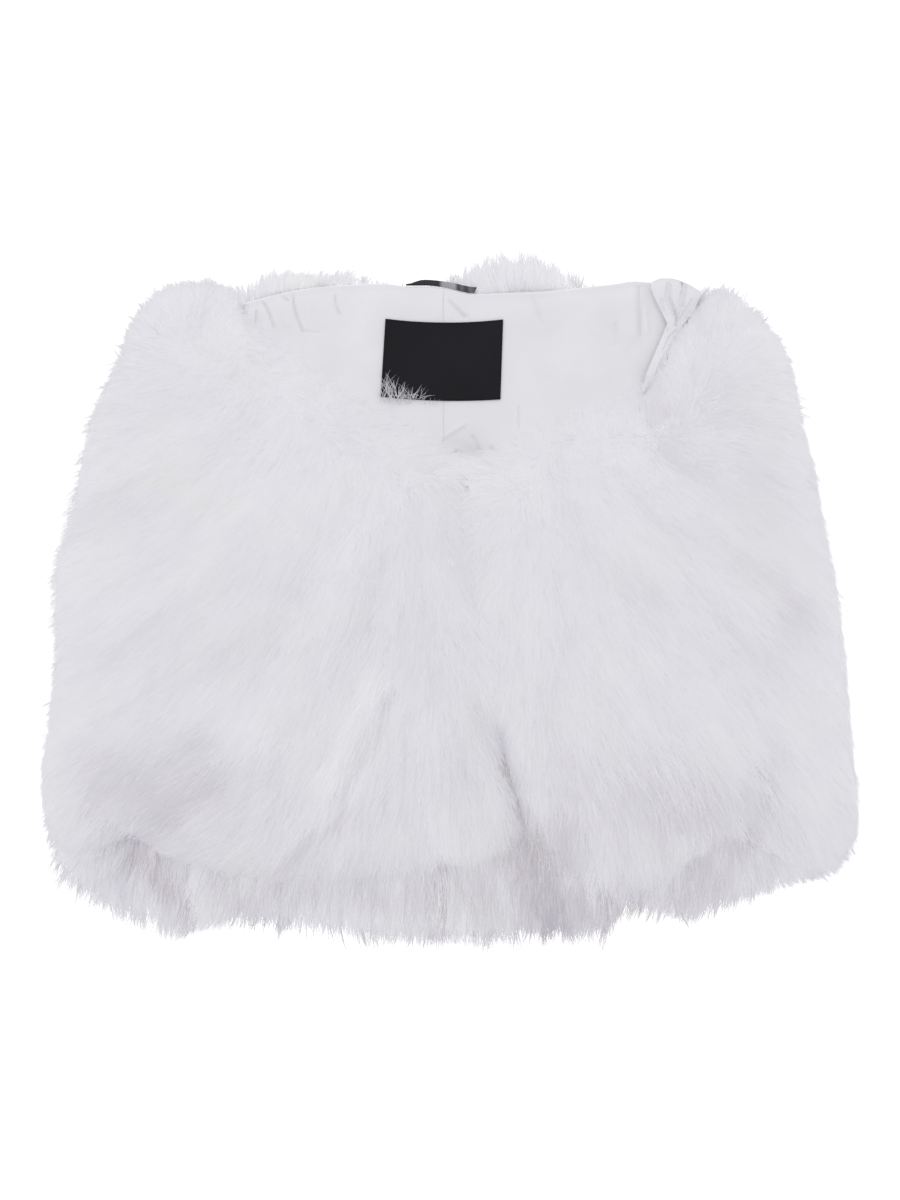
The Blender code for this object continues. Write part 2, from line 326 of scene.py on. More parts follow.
def lies(flow: Table) -> Table:
    """Rows of a flow with the lie, given in degrees, as the two parts of a direction.

    Args:
        flow: Rows of x, y, the lie and what follows it.

    Returns:
        The rows, each one column longer.
    """
    return tuple(
        (x, y, math.cos(math.radians(lie)), math.sin(math.radians(lie)), *rest) for x, y, lie, *rest in flow
    )


def near(table: Table, x: Array, y: Array, spread: float) -> Array:
    """Rows of a table blended by how near each lies.

    A row's weight is a bell curve of its distance, with a faint long tail so that far places follow the
    nearest row.

    Args:
        table: Rows that start with x and y in millimetres.
        x: Places across, in metres.
        y: Places along, in metres.
        spread: Width of the bell curve, in millimetres.

    Returns:
        The blended columns after x and y, one row for each place.
    """
    rows = np.array(table)
    square = (x[..., None] / MM - rows[:, 0]) ** 2 + (y[..., None] / MM - rows[:, 1]) ** 2
    weight = np.exp(-square / (2 * spread**2)) + 1e-3 / (1 + square / spread**2) ** 3
    return (weight @ rows[:, 2:]) / weight.sum(axis=-1, keepdims=True)


def bumps(table: Table, x: Array, y: Array) -> Array:
    """Soft ridges and troughs, each laid along a line.

    Each has a bell-shaped section across its line and fades out past the line's two ends. The highest
    ridge at a place is added to its deepest trough, so lines that share an end run on evenly.

    Args:
        table: Rows of x0, y0, x1, y1, half width and rise, in millimetres.
        x: Places across, in metres.
        y: Places along, in metres.

    Returns:
        Heights in metres.
    """
    ridge, trough = np.zeros(np.shape(x)), np.zeros(np.shape(x))
    for x0, y0, x1, y1, half, rise in table:
        run = np.array([x1 - x0, y1 - y0])
        length = float(np.hypot(*run)) or 1.0
        along = ((x / MM - x0) * run[0] + (y / MM - y0) * run[1]) / length**2
        kept = np.clip(along, 0.0, 1.0)
        gap = np.hypot(x / MM - x0 - kept * run[0], y / MM - y0 - kept * run[1])
        height = rise * MM * np.exp(-((gap / half) ** 2) * 1.6)
        ridge, trough = np.maximum(ridge, height), np.minimum(trough, height)
    return ridge + trough


def grid_faces(rows: int, columns: int, round_: bool) -> Array:
    """Corner indices of a grid's four-sided faces.

    Args:
        rows: Rows of points.
        columns: Points in a row.
        round_: Whether each row closes on itself.

    Returns:
        An array of (faces, 4) indices, wound so that a grid of x across and y along faces up.
    """
    index = np.arange(rows * columns).reshape(rows, columns)
    after = np.roll(index, -1, axis=1)
    if not round_:
        index, after = index[:, :-1], after[:, :-1]
    return np.stack([index[:-1], after[:-1], after[1:], index[1:]], axis=-1).reshape(-1, 4)


def grid_normals(points: Array) -> Array:
    """Normals of a grid whose rows close on themselves, from its differences along both ways."""
    closed = np.concatenate([points[:, -1:], points, points[:, :1]], axis=1)
    return unit(np.cross(np.gradient(closed, axis=1)[:, 1:-1], np.gradient(points, axis=0)))


def new_mesh(name: str, points: Array, corners: Array, sizes: Array) -> bpy.types.Object:
    """Puts whole arrays into a new smooth mesh.

    Args:
        name: The piece's name.
        points: Its points, (count, 3), in metres.
        corners: The faces' corner indices, one face after another.
        sizes: How many corners each face has.

    Returns:
        The object, linked to the scene.
    """
    mesh = bpy.data.meshes.new(name)
    mesh.vertices.add(len(points))
    mesh.vertices.foreach_set("co", np.ascontiguousarray(points, np.float32).ravel())
    mesh.loops.add(len(corners))
    mesh.loops.foreach_set("vertex_index", corners.astype(np.int32))
    mesh.polygons.add(len(sizes))
    mesh.polygons.foreach_set("loop_start", (np.cumsum(sizes) - sizes).astype(np.int32))
    mesh.polygons.foreach_set("use_smooth", np.ones(len(sizes), bool))
    mesh.update(calc_edges=True)
    piece = bpy.data.objects.new(name, mesh)
    bpy.context.scene.collection.objects.link(piece)
    return piece


def grid_piece(name: str, points: Array) -> bpy.types.Object:
    """A surface from a grid of points, (rows, columns, 3), with x across and y along where it faces up."""
    faces = grid_faces(*points.shape[:2], False)
    return new_mesh(name, points.reshape(-1, 3), faces.ravel(), np.full(len(faces), 4))


def ring_piece(name: str, points: Array) -> bpy.types.Object:
    """A surface from rings of points round a pole.

    Args:
        name: The piece's name.
        points: Rings of points, (rings, columns, 3). The first ring is the pole, given once a column.

    Returns:
        The object, which faces down where the columns run from x to y and the rings grow.
    """
    rings, columns = points.shape[:2]
    faces = grid_faces(rings - 1, columns, True) + 1
    first = np.arange(columns) + 1
    fan = np.stack([np.zeros(columns, int), np.roll(first, -1), first], axis=1)
    corners = np.concatenate([fan.ravel(), faces.ravel()])
    sizes = np.concatenate([np.full(columns, 3), np.full(len(faces), 4)])
    return new_mesh(name, np.concatenate([points[:1, 0], points[1:].reshape(-1, 3)]), corners, sizes)


def dress(piece: bpy.types.Object, material: Any, node: str = "") -> bpy.types.Object:
    """Gives a piece its material and makes it ride with the stole.

    Args:
        piece: The piece.
        material: The material.
        node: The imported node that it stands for, if it stands for one by itself.

    Returns:
        The piece.
    """
    piece.data.materials.append(material)
    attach(piece, "root")
    if node:
        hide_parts(node)
    return piece


# ---------------------------------------------------------------- finishes


class Nodes:
    """A node tree under construction, with short ways to add and link nodes."""

    def __init__(self, tree: bpy.types.NodeTree) -> None:
        """Starts on a tree with nothing in it."""
        self.tree = tree
        self.tree.nodes.clear()

    def add(self, kind: str, settings: dict[str, Any] | None = None, **inputs: Any) -> bpy.types.Node:
        """Adds a node.

        Args:
            kind: Blender's node type, without its ShaderNode prefix unless it is a group's end.
            settings: Values of the node's own properties.
            **inputs: Values or output sockets for its inputs, spaces in names written as underscores.

        Returns:
            The node.
        """
        node = self.tree.nodes.new(kind if kind.startswith("NodeGroup") else "ShaderNode" + kind)
        for key, value in (settings or {}).items():
            setattr(node, key, value)
        for key, value in inputs.items():
            self.feed(node, key.replace("_", " "), value)
        return node

    def feed(self, node: bpy.types.Node, key: str | int, value: Any) -> None:
        """Sets or links one input of a node.

        Args:
            node: The node.
            key: The input's name, or its place in the row.
            value: What it is set to, or the socket that feeds it.
        """
        if isinstance(value, bpy.types.NodeSocket):
            self.tree.links.new(value, node.inputs[key])
        else:
            node.inputs[key].default_value = value

    def maths(self, operation: str, first: Any, second: Any) -> bpy.types.NodeSocket:
        """One sum of two values or sockets.

        Args:
            operation: The kind of sum.
            first: The first value or socket.
            second: The second one.

        Returns:
            The socket that carries the result.
        """
        node = self.add("Math", {"operation": operation})
        for key, value in enumerate((first, second)):
            self.feed(node, key, value)
        return node.outputs[0]

    def ramp(self, value: Any, stops: Stops) -> bpy.types.NodeSocket:
        """A colour ramp, evenly blended between its stops.

        Args:
            value: What picks the colour, from 0 to 1.
            stops: Places on the ramp with their colours.

        Returns:
            The socket that carries the colour.
        """
        node = self.add("ValToRGB", Fac=value)
        row = node.color_ramp.elements
        while len(row) < len(stops):
            row.new(1.0)
        for stop, (place, colour) in zip(row, stops):
            stop.position = place
            stop.color = (*colour, 1.0)
        return node.outputs["Color"]

    def mix(self, share: Any, first: Any, second: Any, blend: str) -> bpy.types.NodeSocket:
        """Two colours mixed, whose sockets are the mix node's seventh and eighth.

        Args:
            share: The second colour's share.
            first: The first colour.
            second: The second colour.
            blend: How the second acts on the first.

        Returns:
            The socket that carries the colour.
        """
        node = self.add("Mix", {"data_type": "RGBA", "blend_type": blend})
        for key, value in ((0, share), (6, first), (7, second)):
            self.feed(node, key, value)
        return node.outputs[2]

    def noise(self, place: Any, scale: float, detail: float, stretch: Colour | None = None) -> Any:
        """Soft noise, stretched along the axes where asked.

        Args:
            place: Where the noise is read.
            scale: How many waves lie in a metre.
            detail: How many finer waves are added.
            stretch: A scale for each axis, or none.

        Returns:
            The socket that carries the noise, from 0 to 1.
        """
        if stretch:
            place = self.add("Mapping", Vector=place, Scale=stretch).outputs[0]
        return self.add("TexNoise", Vector=place, Scale=scale, Detail=detail).outputs["Fac"]

    def place(self) -> bpy.types.NodeSocket:
        """Where the shaded point lies, in the piece's own coordinates."""
        return self.add("TexCoord").outputs["Object"]


def new_group(
    name: str, inputs: tuple[tuple[str, str, Any], ...], outputs: tuple[tuple[str, str], ...]
) -> tuple[Nodes, bpy.types.Node, bpy.types.Node]:
    """Starts a shader node group.

    Args:
        name: The group's name.
        inputs: Name, socket kind and default of each input.
        outputs: Name and socket kind of each output.

    Returns:
        The group's builder, and its input and output ends.
    """
    tree = bpy.data.node_groups.new(name, "ShaderNodeTree")
    for label, kind, default in inputs:
        socket = tree.interface.new_socket(label, in_out="INPUT", socket_type="NodeSocket" + kind)
        if default is not None:
            socket.default_value = default
    for label, kind in outputs:
        tree.interface.new_socket(label, in_out="OUTPUT", socket_type="NodeSocket" + kind)
    nodes = Nodes(tree)
    return nodes, nodes.add("NodeGroupInput"), nodes.add("NodeGroupOutput")


def fur_colour_group() -> bpy.types.NodeTree:
    """Colour of a hair: the tone's hue, times a painted shade that is deepest at the root and fades towards
    the tip, times a faint cloud.

    Tone 0 to 0.12 is warm undercoat, up to 0.2 cream, and from there cool grey to white; the darker tones
    also carry painted shade.

    Returns:
        The group's tree.
    """
    nodes, start, end = new_group(
        "fur_colour",
        (("Tone", "Float", 0.6), ("Along", "Float", 0.5), ("Place", "Vector", None)),
        (("Colour", "Color"),),
    )
    tone, along, place = (start.outputs[label] for label in ("Tone", "Along", "Place"))
    hue = nodes.ramp(
        tone,
        (
            (0.0, (0.60, 0.53, 0.535)),
            (0.11, (0.78, 0.75, 0.765)),
            (0.13, (0.84, 0.83, 0.82)),
            (0.20, (0.855, 0.845, 0.84)),
            (0.23, (0.52, 0.497, 0.545)),
            (0.60, (0.84, 0.84, 0.88)),
            (1.0, (0.97, 0.975, 0.99)),
        ),
    )
    # painted shade: each hair is a little darker at its root, deep in the pile, than at its tip
    depth = nodes.ramp(
        along, ((0.0, (0.975, 0.972, 0.974)), (0.35, (0.99, 0.99, 0.99)), (0.7, (1.0, 1.0, 1.0)))
    )
    cloud = nodes.ramp(
        nodes.noise(place, 15.0, 3.0),
        ((0.36, (0.992, 0.978, 1.0)), (0.5, (0.998, 0.986, 0.997)), (0.64, (1.0, 0.992, 0.990))),
    )
    colour = nodes.mix(1.0, nodes.mix(1.0, hue, depth, "MULTIPLY"), cloud, "MULTIPLY")
    nodes.feed(end, "Colour", colour)
    return nodes.tree


def weave_group() -> bpy.types.NodeTree:
    """Height of a woven ground, the mean of two crossed waves for warp and weft, and a soft cloud.

    Returns:
        The group's tree.
    """
    nodes, start, end = new_group(
        "weave",
        (("Place", "Vector", None), ("Pitch", "Float", 2000.0)),
        (("Height", "Float"), ("Cloud", "Float")),
    )
    place, pitch = start.outputs["Place"], start.outputs["Pitch"]
    warp, weft = (
        nodes.add("TexWave", {"bands_direction": way}, Vector=place, Scale=pitch, Distortion=0.4)
        for way in ("X", "Y")
    )
    both = nodes.maths("ADD", warp.outputs["Fac"], weft.outputs["Fac"])
    nodes.feed(end, "Height", nodes.maths("MULTIPLY", both, 0.5))
    nodes.feed(end, "Cloud", nodes.noise(place, 26.0, 3.0))
    return nodes.tree


@dataclass(frozen=True)
class Finish:
    """What every finish shares: a name and the constants of its surface shader."""

    name: str
    roughness: float
    sheen: float = 0.0
    sheen_roughness: float = 0.5
    gloss: float = 0.5

    def start(self) -> tuple[bpy.types.Material, Nodes, bpy.types.Node]:
        """Starts the material.

        Returns:
            The material, its node builder and its surface shader, already linked to the output.
        """
        material = bpy.data.materials.new(self.name)
        material.use_nodes = True
        nodes = Nodes(material.node_tree)
        shader = nodes.add(
            "BsdfPrincipled",
            Roughness=self.roughness,
            Specular_IOR_Level=self.gloss,
            Sheen_Weight=self.sheen,
            Sheen_Roughness=self.sheen_roughness,
        )
        nodes.add("OutputMaterial", Surface=shader.outputs[0])
        return material, nodes, shader


@dataclass(frozen=True)
class PileFinish(Finish):
    """Hair of the pile: tone across its own map, root to tip up it, which sets its painted root shade."""

    def make(self, colour: bpy.types.NodeTree) -> bpy.types.Material:
        """Makes the hairs' material, with the group's colour as its own.

        Args:
            colour: The shared fur colour group.

        Returns:
            The material.
        """
        material, nodes, shader = self.start()
        parts = nodes.add("SeparateXYZ", Vector=nodes.add("UVMap", {"uv_map": Pile.MAP}).outputs[0])
        tone, along = parts.outputs[0], parts.outputs[1]
        group = nodes.add("Group", {"node_tree": colour}, Tone=tone, Along=along, Place=nodes.place())
        nodes.feed(shader, "Base Color", group.outputs["Colour"])
        return material


@dataclass(frozen=True)
class UndercoatFinish(Finish):
    """Short dense undercoat on the skin, matted and soft."""

    relief: float = 1.5 * MM

    def make(self, colour: bpy.types.NodeTree) -> bpy.types.Material:
        """Makes the skin's material, with tufts as the colour's tone and fine noise as relief.

        Args:
            colour: The shared fur colour group.

        Returns:
            The material.
        """
        material, nodes, shader = self.start()
        place = nodes.place()
        fine = nodes.noise(place, 420.0, 3.0, (1.0, 0.35, 1.0))
        tone = nodes.maths("ADD", nodes.maths("MULTIPLY", nodes.noise(place, 70.0, 4.0), 0.3), 0.45)
        # painted shade: the undercoat is darker where its fine relief is low, through the group's root shade
        along = nodes.maths("ADD", nodes.maths("MULTIPLY", fine, 0.6), 0.15)
        group = nodes.add("Group", {"node_tree": colour}, Tone=tone, Along=along, Place=place)
        nodes.feed(shader, "Base Color", group.outputs["Colour"])
        bump = nodes.add("Bump", Strength=0.6, Distance=self.relief, Height=fine)
        nodes.feed(shader, "Normal", bump.outputs[0])
        return material


@dataclass(frozen=True)
class ClothFinish(Finish):
    """Woven satin: two tones clouded over the cloth, with its threads as relief.

    Where bands are given, grey stripes of painted gloss lie across the cloth between the two places, in
    millimetres, each at its share of the way and with its grey: a painted highlight on the dark cloth.
    """

    deep: Colour = (0.8, 0.8, 0.8)
    light: Colour = (0.9, 0.9, 0.9)
    pitch: float = 900.0
    relief: float = 0.06 * MM
    # where the painted gloss runs along the cloth (mm), and the grey of this painted highlight at each share
    bands: tuple[float, float] | None = None
    painted_gloss: Table = ()

    def make(self, weave: bpy.types.NodeTree) -> bpy.types.Material:
        """Makes the cloth's material on the weave's height and cloud.

        Args:
            weave: The shared weave group.

        Returns:
            The material.
        """
        material, nodes, shader = self.start()
        place = nodes.place()
        group = nodes.add("Group", {"node_tree": weave}, Place=place, Pitch=self.pitch)
        colour = nodes.ramp(group.outputs["Cloud"], ((0.3, self.deep), (0.7, self.light)))
        # painted highlight: grey stripes added over the dark cloth where a satin ribbon would catch the light
        if self.bands:
            first, last = self.bands
            across = nodes.add("SeparateXYZ", Vector=place).outputs[0]
            along = nodes.maths("SUBTRACT", across, first * MM)
            along = nodes.maths("MULTIPLY", along, 1.0 / (last - first) / MM)
            stops = tuple((share, (value, value, value * 1.06)) for share, value in self.painted_gloss)
            grey = nodes.ramp(along, stops)
            ribs = nodes.add("TexWave", {"bands_direction": "Y"}, Vector=place, Scale=420.0, Distortion=1.5)
            striped = nodes.mix(ribs.outputs["Fac"], (0.5, 0.5, 0.5, 1.0), (1.0, 1.0, 1.0, 1.0), "MIX")
            colour = nodes.mix(1.0, colour, nodes.mix(1.0, grey, striped, "MULTIPLY"), "ADD")
        nodes.feed(shader, "Base Color", colour)
        bump = nodes.add("Bump", Strength=0.35, Distance=self.relief, Height=group.outputs["Height"])
        nodes.feed(shader, "Normal", bump.outputs[0])
        return material


# ---------------------------------------------------------------- fur


class Shape(Enum):
    """How a fur piece is laid: a front domed over the back, or the back turned up round its rim."""

    FRONT = "front"
    BACK = "back"


@dataclass(frozen=True)
class Skin:
    """The skin of a fur piece as a grid, with what a hair needs to know about each of its cells."""

    points: Array
    normals: Array
    sink: Array

    def scatter(self, count: int, rng: np.random.Generator, keep: Array) -> tuple[Array, Array, Array]:
        """Places on the skin, evenly by area.

        The cells' areas are summed in order, the sum is cut in equal steps with a little play in each, and
        each cut falls in one cell, where a place is taken at random.

        Args:
            count: How many places.
            rng: The seeded source of chance.
            keep: How thickly each cell is set, from 0 to 1.

        Returns:
            Points, normals and sinks, one row for each place.
        """
        p = self.points
        after = np.roll(p, -1, axis=1)
        up = p[1:] - p[:-1]
        area = np.linalg.norm(np.cross((after[:-1] - p[:-1] + after[1:] - p[1:]) * 0.5, up), axis=-1)
        area = area * (keep[:-1] + keep[1:]) * 0.5
        total = np.cumsum(area.ravel())
        cuts = (np.arange(count) + rng.random(count)) / count * total[-1]
        cell = np.minimum(np.searchsorted(total, cuts), area.size - 1)
        i, j = np.unravel_index(cell, area.shape)
        k = (j + 1) % p.shape[1]
        u, v = rng.random(count), rng.random(count)

        def pick(values: Array) -> Array:
            """Each place's value, blended from the four corners of its cell.

            Args:
                values: One value or one row for each of the skin's points.

            Returns:
                The values at the places.
            """
            shape = (-1,) + (1,) * (values.ndim - 2)
            a, b = u.reshape(shape), v.reshape(shape)
            low = values[i, j] * (1 - a) + values[i, k] * a
            return low * (1 - b) + (values[i + 1, j] * (1 - a) + values[i + 1, k] * a) * b

        return pick(p), unit(pick(self.normals)), pick(self.sink)


class Combed:
    """Soft streaks that run with the lie of the hair, from minus one to one, as a grid of cells."""

    CELL = 3.0 * MM
    FIRST = np.array([-0.345, -0.30])
    SHAPE = (230, 200)

    def __init__(self, flow: Table, width: int, half_length: float, seed: int) -> None:
        """Spreads random values and smears them along the lie.

        Each cell's value is the mean of the random ones met on a path that follows the lie both ways from
        the cell. The values are then scaled to a spread of one.

        Args:
            flow: Rows of x, y and lie in degrees, and more.
            width: How wide a streak is, in cells.
            half_length: How far the path runs each way, in millimetres.
            seed: Seed of the random values.
        """
        cells = np.random.default_rng(seed).normal(0.0, 1.0, self.SHAPE)
        for _ in range(width):
            cells = around(cells)
        columns, rows = np.meshgrid(*(np.arange(n) for n in self.SHAPE), indexing="ij")
        x = (self.FIRST[0] + columns * self.CELL).ravel()
        y = (self.FIRST[1] + rows * self.CELL).ravel()
        way = unit(near(lies(flow), x, y, LIE_SPREAD)[:, :2]).reshape(*self.SHAPE, 2)
        total = np.zeros(self.SHAPE)
        for sign in (-1.0, 1.0):
            place = np.stack([columns, rows], axis=-1).astype(float)
            for _ in range(int(half_length * MM / self.CELL)):
                i, j = np.moveaxis(np.clip(np.rint(place), 0, np.array(self.SHAPE) - 1).astype(int), -1, 0)
                total += cells[i, j]
                place += sign * way[i, j]
        total = around(total)
        self.cells = (total - total.mean()) / total.std()

    def at(self, x: Array, y: Array, most: float) -> Array:
        """Value at each place, read between the nearest cells and kept within the most either way."""
        column, row = (x - self.FIRST[0]) / self.CELL, (y - self.FIRST[1]) / self.CELL
        return np.clip(blend(self.cells, column, row), -most, most)


@dataclass(frozen=True)
class ToneAndPaintedLight:
    """Tone of the pile over the stole with its painted light and shade, where warm or cream hair shows, and
    where hairs differ most.
    """

    # ranges of tone of warm, cream and grey hairs, then of whole grey locks
    WARM = (0.0, 0.11)
    CREAM = (0.14, 0.19)
    GREY = (0.24, 0.995)
    LOCKS = (0.25, 0.99)
    # tones at which cream and grey start, and the tone of a plain lock
    STARTS = (0.12, 0.2)
    MIDDLE = 0.60

    painted_light_and_shade: Table
    warm: Table
    cream: Table
    streaks: Table

    def at(self, x: Array, y: Array, rng: np.random.Generator, play: Array) -> Array:
        """Tone of each lock, with light and shade painted into it.

        Args:
            x: Places across, in metres.
            y: Places along, in metres.
            rng: The seeded source of chance.
            play: How far locks differ in tone.

        Returns:
            Tones, where 0 to 0.12 is warm, up to 0.2 cream, and the rest grey to white.
        """
        # painted light and shade: lighter on the ridges, the fringe and the necklines, darker in the slit,
        # the crevices, under the hems and along the partings
        tone = self.MIDDLE + bumps(self.painted_light_and_shade, x, y) / MM + rng.normal(0.0, play, len(x))
        tone = np.clip(tone, *self.LOCKS)
        chance = rng.random(len(x))
        tone = np.where(chance < bumps(self.cream, x, y) / MM, rng.uniform(*self.CREAM, len(x)), tone)
        return np.where(chance < bumps(self.warm, x, y) / MM, rng.uniform(*self.WARM, len(x)), tone)

    def drift(self, tone: Array, by: Array) -> Array:
        """Tones of locks moved lighter or deeper, which paints light and shade along the billows and leaves
        warm and cream ones alone.
        """
        return np.where(tone > self.STARTS[1], np.clip(tone + by, *self.LOCKS), tone)

    def hold(self, tone: Array, lock: Array) -> Array:
        """Tones of hairs held in the range, warm, cream or grey, that each one's lock belongs to."""
        limits = np.array((self.WARM, self.CREAM, self.GREY))[np.digitize(lock, self.STARTS)]
        return np.clip(tone, limits[:, 0], limits[:, 1])


@dataclass(frozen=True)
class Pile:
    """Hair of one fur piece: locks of fine tapering ribbons set on its skin."""

    MAP = "OFBake"
    # shares of a hair's length, and how far it has run and risen there
    ROWS = np.array((0.0, 0.34, 0.68, 1.0))[None, :, None]
    RUN = np.array((0.0, 0.24, 0.61, 0.96))[None, :, None]
    RISE = np.array((0.0, 0.62, 1.0, 0.96))[None, :, None]
    # widths at the first three shares (mm), then the corners of a hair's faces, and their places on its map
    WIDTHS = (0.62, 0.55, 0.33)
    FACES = np.array([0, 1, 3, 2, 2, 3, 5, 4, 4, 5, 6])
    SIZES = (4, 4, 3)
    SIDES = (-1.0, 1.0, -1.0, 1.0, -0.8, 0.8, 0.0)
    UP = (0.02, 0.02, 0.36, 0.36, 0.70, 0.70, 0.98)
    # most hairs in one mesh, and the most that streaks may count either way
    MOST = 38000
    STREAKS = 2.2
    # how far the lie is brought into the skin's plane, how it droops at a rim, and how a hair hangs
    LEAN = 0.85
    DROOP = np.array([0.0, 0.0, -0.45])
    HANG = np.array([0.0, 0.0, -1.0]) * 0.55
    # play of lengths among locks and among the hairs of a lock
    LOCK_LENGTHS = (0.85, 1.12)
    HAIR_LENGTHS = (0.66, 1.12)
    # band at the outline in which hairs are shaded as lit from above
    OUTER = 12.0 * MM

    locks: int
    hairs: int
    play: float
    seed: int
    loose: float = 3.1 * MM
    gather: float = 0.0
    stray: float = 1.8 * MM
    uneven: float = 0.9
    reach: float = 0.0
    clear: float = 1.6 * MM
    # how strongly the skin's broad and narrow billows go into the tone: painted light on crests, painted
    # shade in troughs
    billow_light_and_shade: float = 0.020
    streak_light_and_shade: float = 0.016

    def lay(
        self,
        skin: Skin,
        flow: Table,
        keep: Array,
        outline: Outline,
        ground: Measure,
        tone_and_painted_light: ToneAndPaintedLight,
        combed: tuple[Combed, Combed],
    ) -> tuple[Array, Array, Array]:
        """Works out every hair.

        A lock stands at one place of the skin and follows the lie there, brought into the skin's tangent
        plane and pulled down a little where the skin turns over its rim. Its hairs start spread round it,
        close in on its guide towards the tip, rise to the crown of the pile and lie over.

        Args:
            skin: The skin that carries the hair.
            flow: Rows of x, y, lie in degrees, length in millimetres and clumping.
            keep: How thickly each cell of the skin is set.
            outline: The outline that tips may reach.
            ground: Gives the lowest height that a hair may have.
            tone_and_painted_light: Tones over the stole, with the light and shade painted into them.
            combed: Broad and narrow streaks along the lie.

        Returns:
            The hairs' rows of points (hairs, rows, 3), the normals to shade them with, and their tones.
        """
        rng = np.random.default_rng(self.seed)
        root, normal, sink = skin.scatter(self.locks, rng, keep)
        x, y = root[:, 0], root[:, 1]
        lie = near(lies(flow), x, y, LIE_SPREAD)
        agreed = np.hypot(lie[:, 0], lie[:, 1])
        turn = np.arctan2(lie[:, 1], lie[:, 0])
        turn = turn + rng.normal(0.0, 1.0, self.locks) * (0.09 + 0.5 * (1.0 - agreed))
        way = np.column_stack([rays(turn), np.zeros(self.locks)])
        way = way - self.LEAN * dot(way, normal) * normal
        steep = 1.0 - np.abs(normal[:, 2:])
        way = unit(way + self.DROOP * steep)
        length = lie[:, 2] * MM * rng.uniform(*self.LOCK_LENGTHS, self.locks) * (0.55 + 0.45 * agreed)
        clump = np.clip((lie[:, 3] - 0.35) * 1.7, max(0.06, self.gather), 0.9)
        lift = sink * rng.uniform(0.96, 1.03, self.locks)
        wild = np.clip(lie[:, 3] - 0.3, 0.1, 0.4) / 0.4
        # the tone follows the skin's billows: painted light on their crests and painted shade in their
        # troughs
        broad, narrow = (streaks.at(x, y, self.STREAKS) for streaks in combed)
        tone = tone_and_painted_light.drift(tone_and_painted_light.at(x, y, rng, self.play * wild), self.billow_light_and_shade * broad + self.streak_light_and_shade * narrow)

        count = self.locks * self.hairs
        of = np.repeat(np.arange(self.locks), self.hairs)
        side = np.cross(normal, way)
        offset = rng.normal(0.0, self.loose, (count, 2))
        spread = offset[:, :1] * side[of] + offset[:, 1:] * way[of]
        way_one = unit(way[of] + side[of] * rng.normal(0.0, 0.11, (count, 1)))
        length_one = length[of] * rng.uniform(*self.HAIR_LENGTHS, count)
        lift_one = lift[of] * rng.uniform(0.92, 1.03, count)
        bend = rng.normal(0.0, 0.05, self.locks)[of] + rng.normal(0.0, 0.03, count)
        closing = 1.0 - clump[of][:, None, None] * self.ROWS**1.4
        hang = steep[of][:, None] * self.ROWS**2 * self.HANG

        def points(size: Array) -> Array:
            """Points of every hair: its root, its spread closing towards the tip, run, rise, bend and hang.

            Args:
                size: The hairs' lengths.

            Returns:
                A row of points for each hair.
            """
            along = size[:, None, None]
            return (
                root[of][:, None]
                + spread[:, None] * closing
                + along * self.RUN * way_one[:, None]
                + lift_one[:, None, None] * self.RISE * normal[of][:, None]
                + along * (bend[:, None, None] * self.ROWS**2) * side[of][:, None]
                + along * hang
            )

        def past(rows: Array) -> Array:
            """How far each hair's tip lies outside the outline."""
            return outline.outside(rows[:, -1, 0], rows[:, -1, 1])

        over = past(points(length_one)) + rng.normal(0.0, self.stray, self.locks)[of] - self.reach
        over = over + rng.exponential(self.uneven * self.stray, count)
        shrink = np.clip(1.0 - np.maximum(over, 0.0) / np.maximum(length_one, 1e-6), 0.3, 1.0)
        rows = points(length_one * shrink)
        low = ground(rows[..., 0], rows[..., 1]) + rng.uniform(0.06, 1.0, count)[:, None] * self.clear
        rows[..., 2] = np.maximum(rows[..., 2], low)

        swell = (offset[:, :1] * side[of] + 0.4 * offset[:, 1:] * way[of]) / self.loose
        shade = normal[of] + 0.10 * (wild * clump)[of][:, None] * swell
        outer = np.clip(past(rows) / self.OUTER + 1.0, 0.0, 1.0)
        kept = (outer < 0.5) & (shade[:, 2] < -0.6)
        shade[:, 2] = np.where(kept, shade[:, 2], np.maximum(shade[:, 2] + 0.45, 0.3) + 0.9 * outer)
        play = (0.03 * wild + bumps(tone_and_painted_light.streaks, x, y) / MM)[of]
        # painted shade: a hair that lies lower than the rest of its lock is made darker
        deep = 0.45 * wild[of] * (lift_one / np.maximum(lift[of], 1e-9) - 1.0)
        tone_one = np.clip(tone[of] + rng.normal(0.0, 1.0, count) * play + deep, 0.0, 0.995)
        return rows, unit(shade), tone_and_painted_light.hold(tone_one, tone[of])

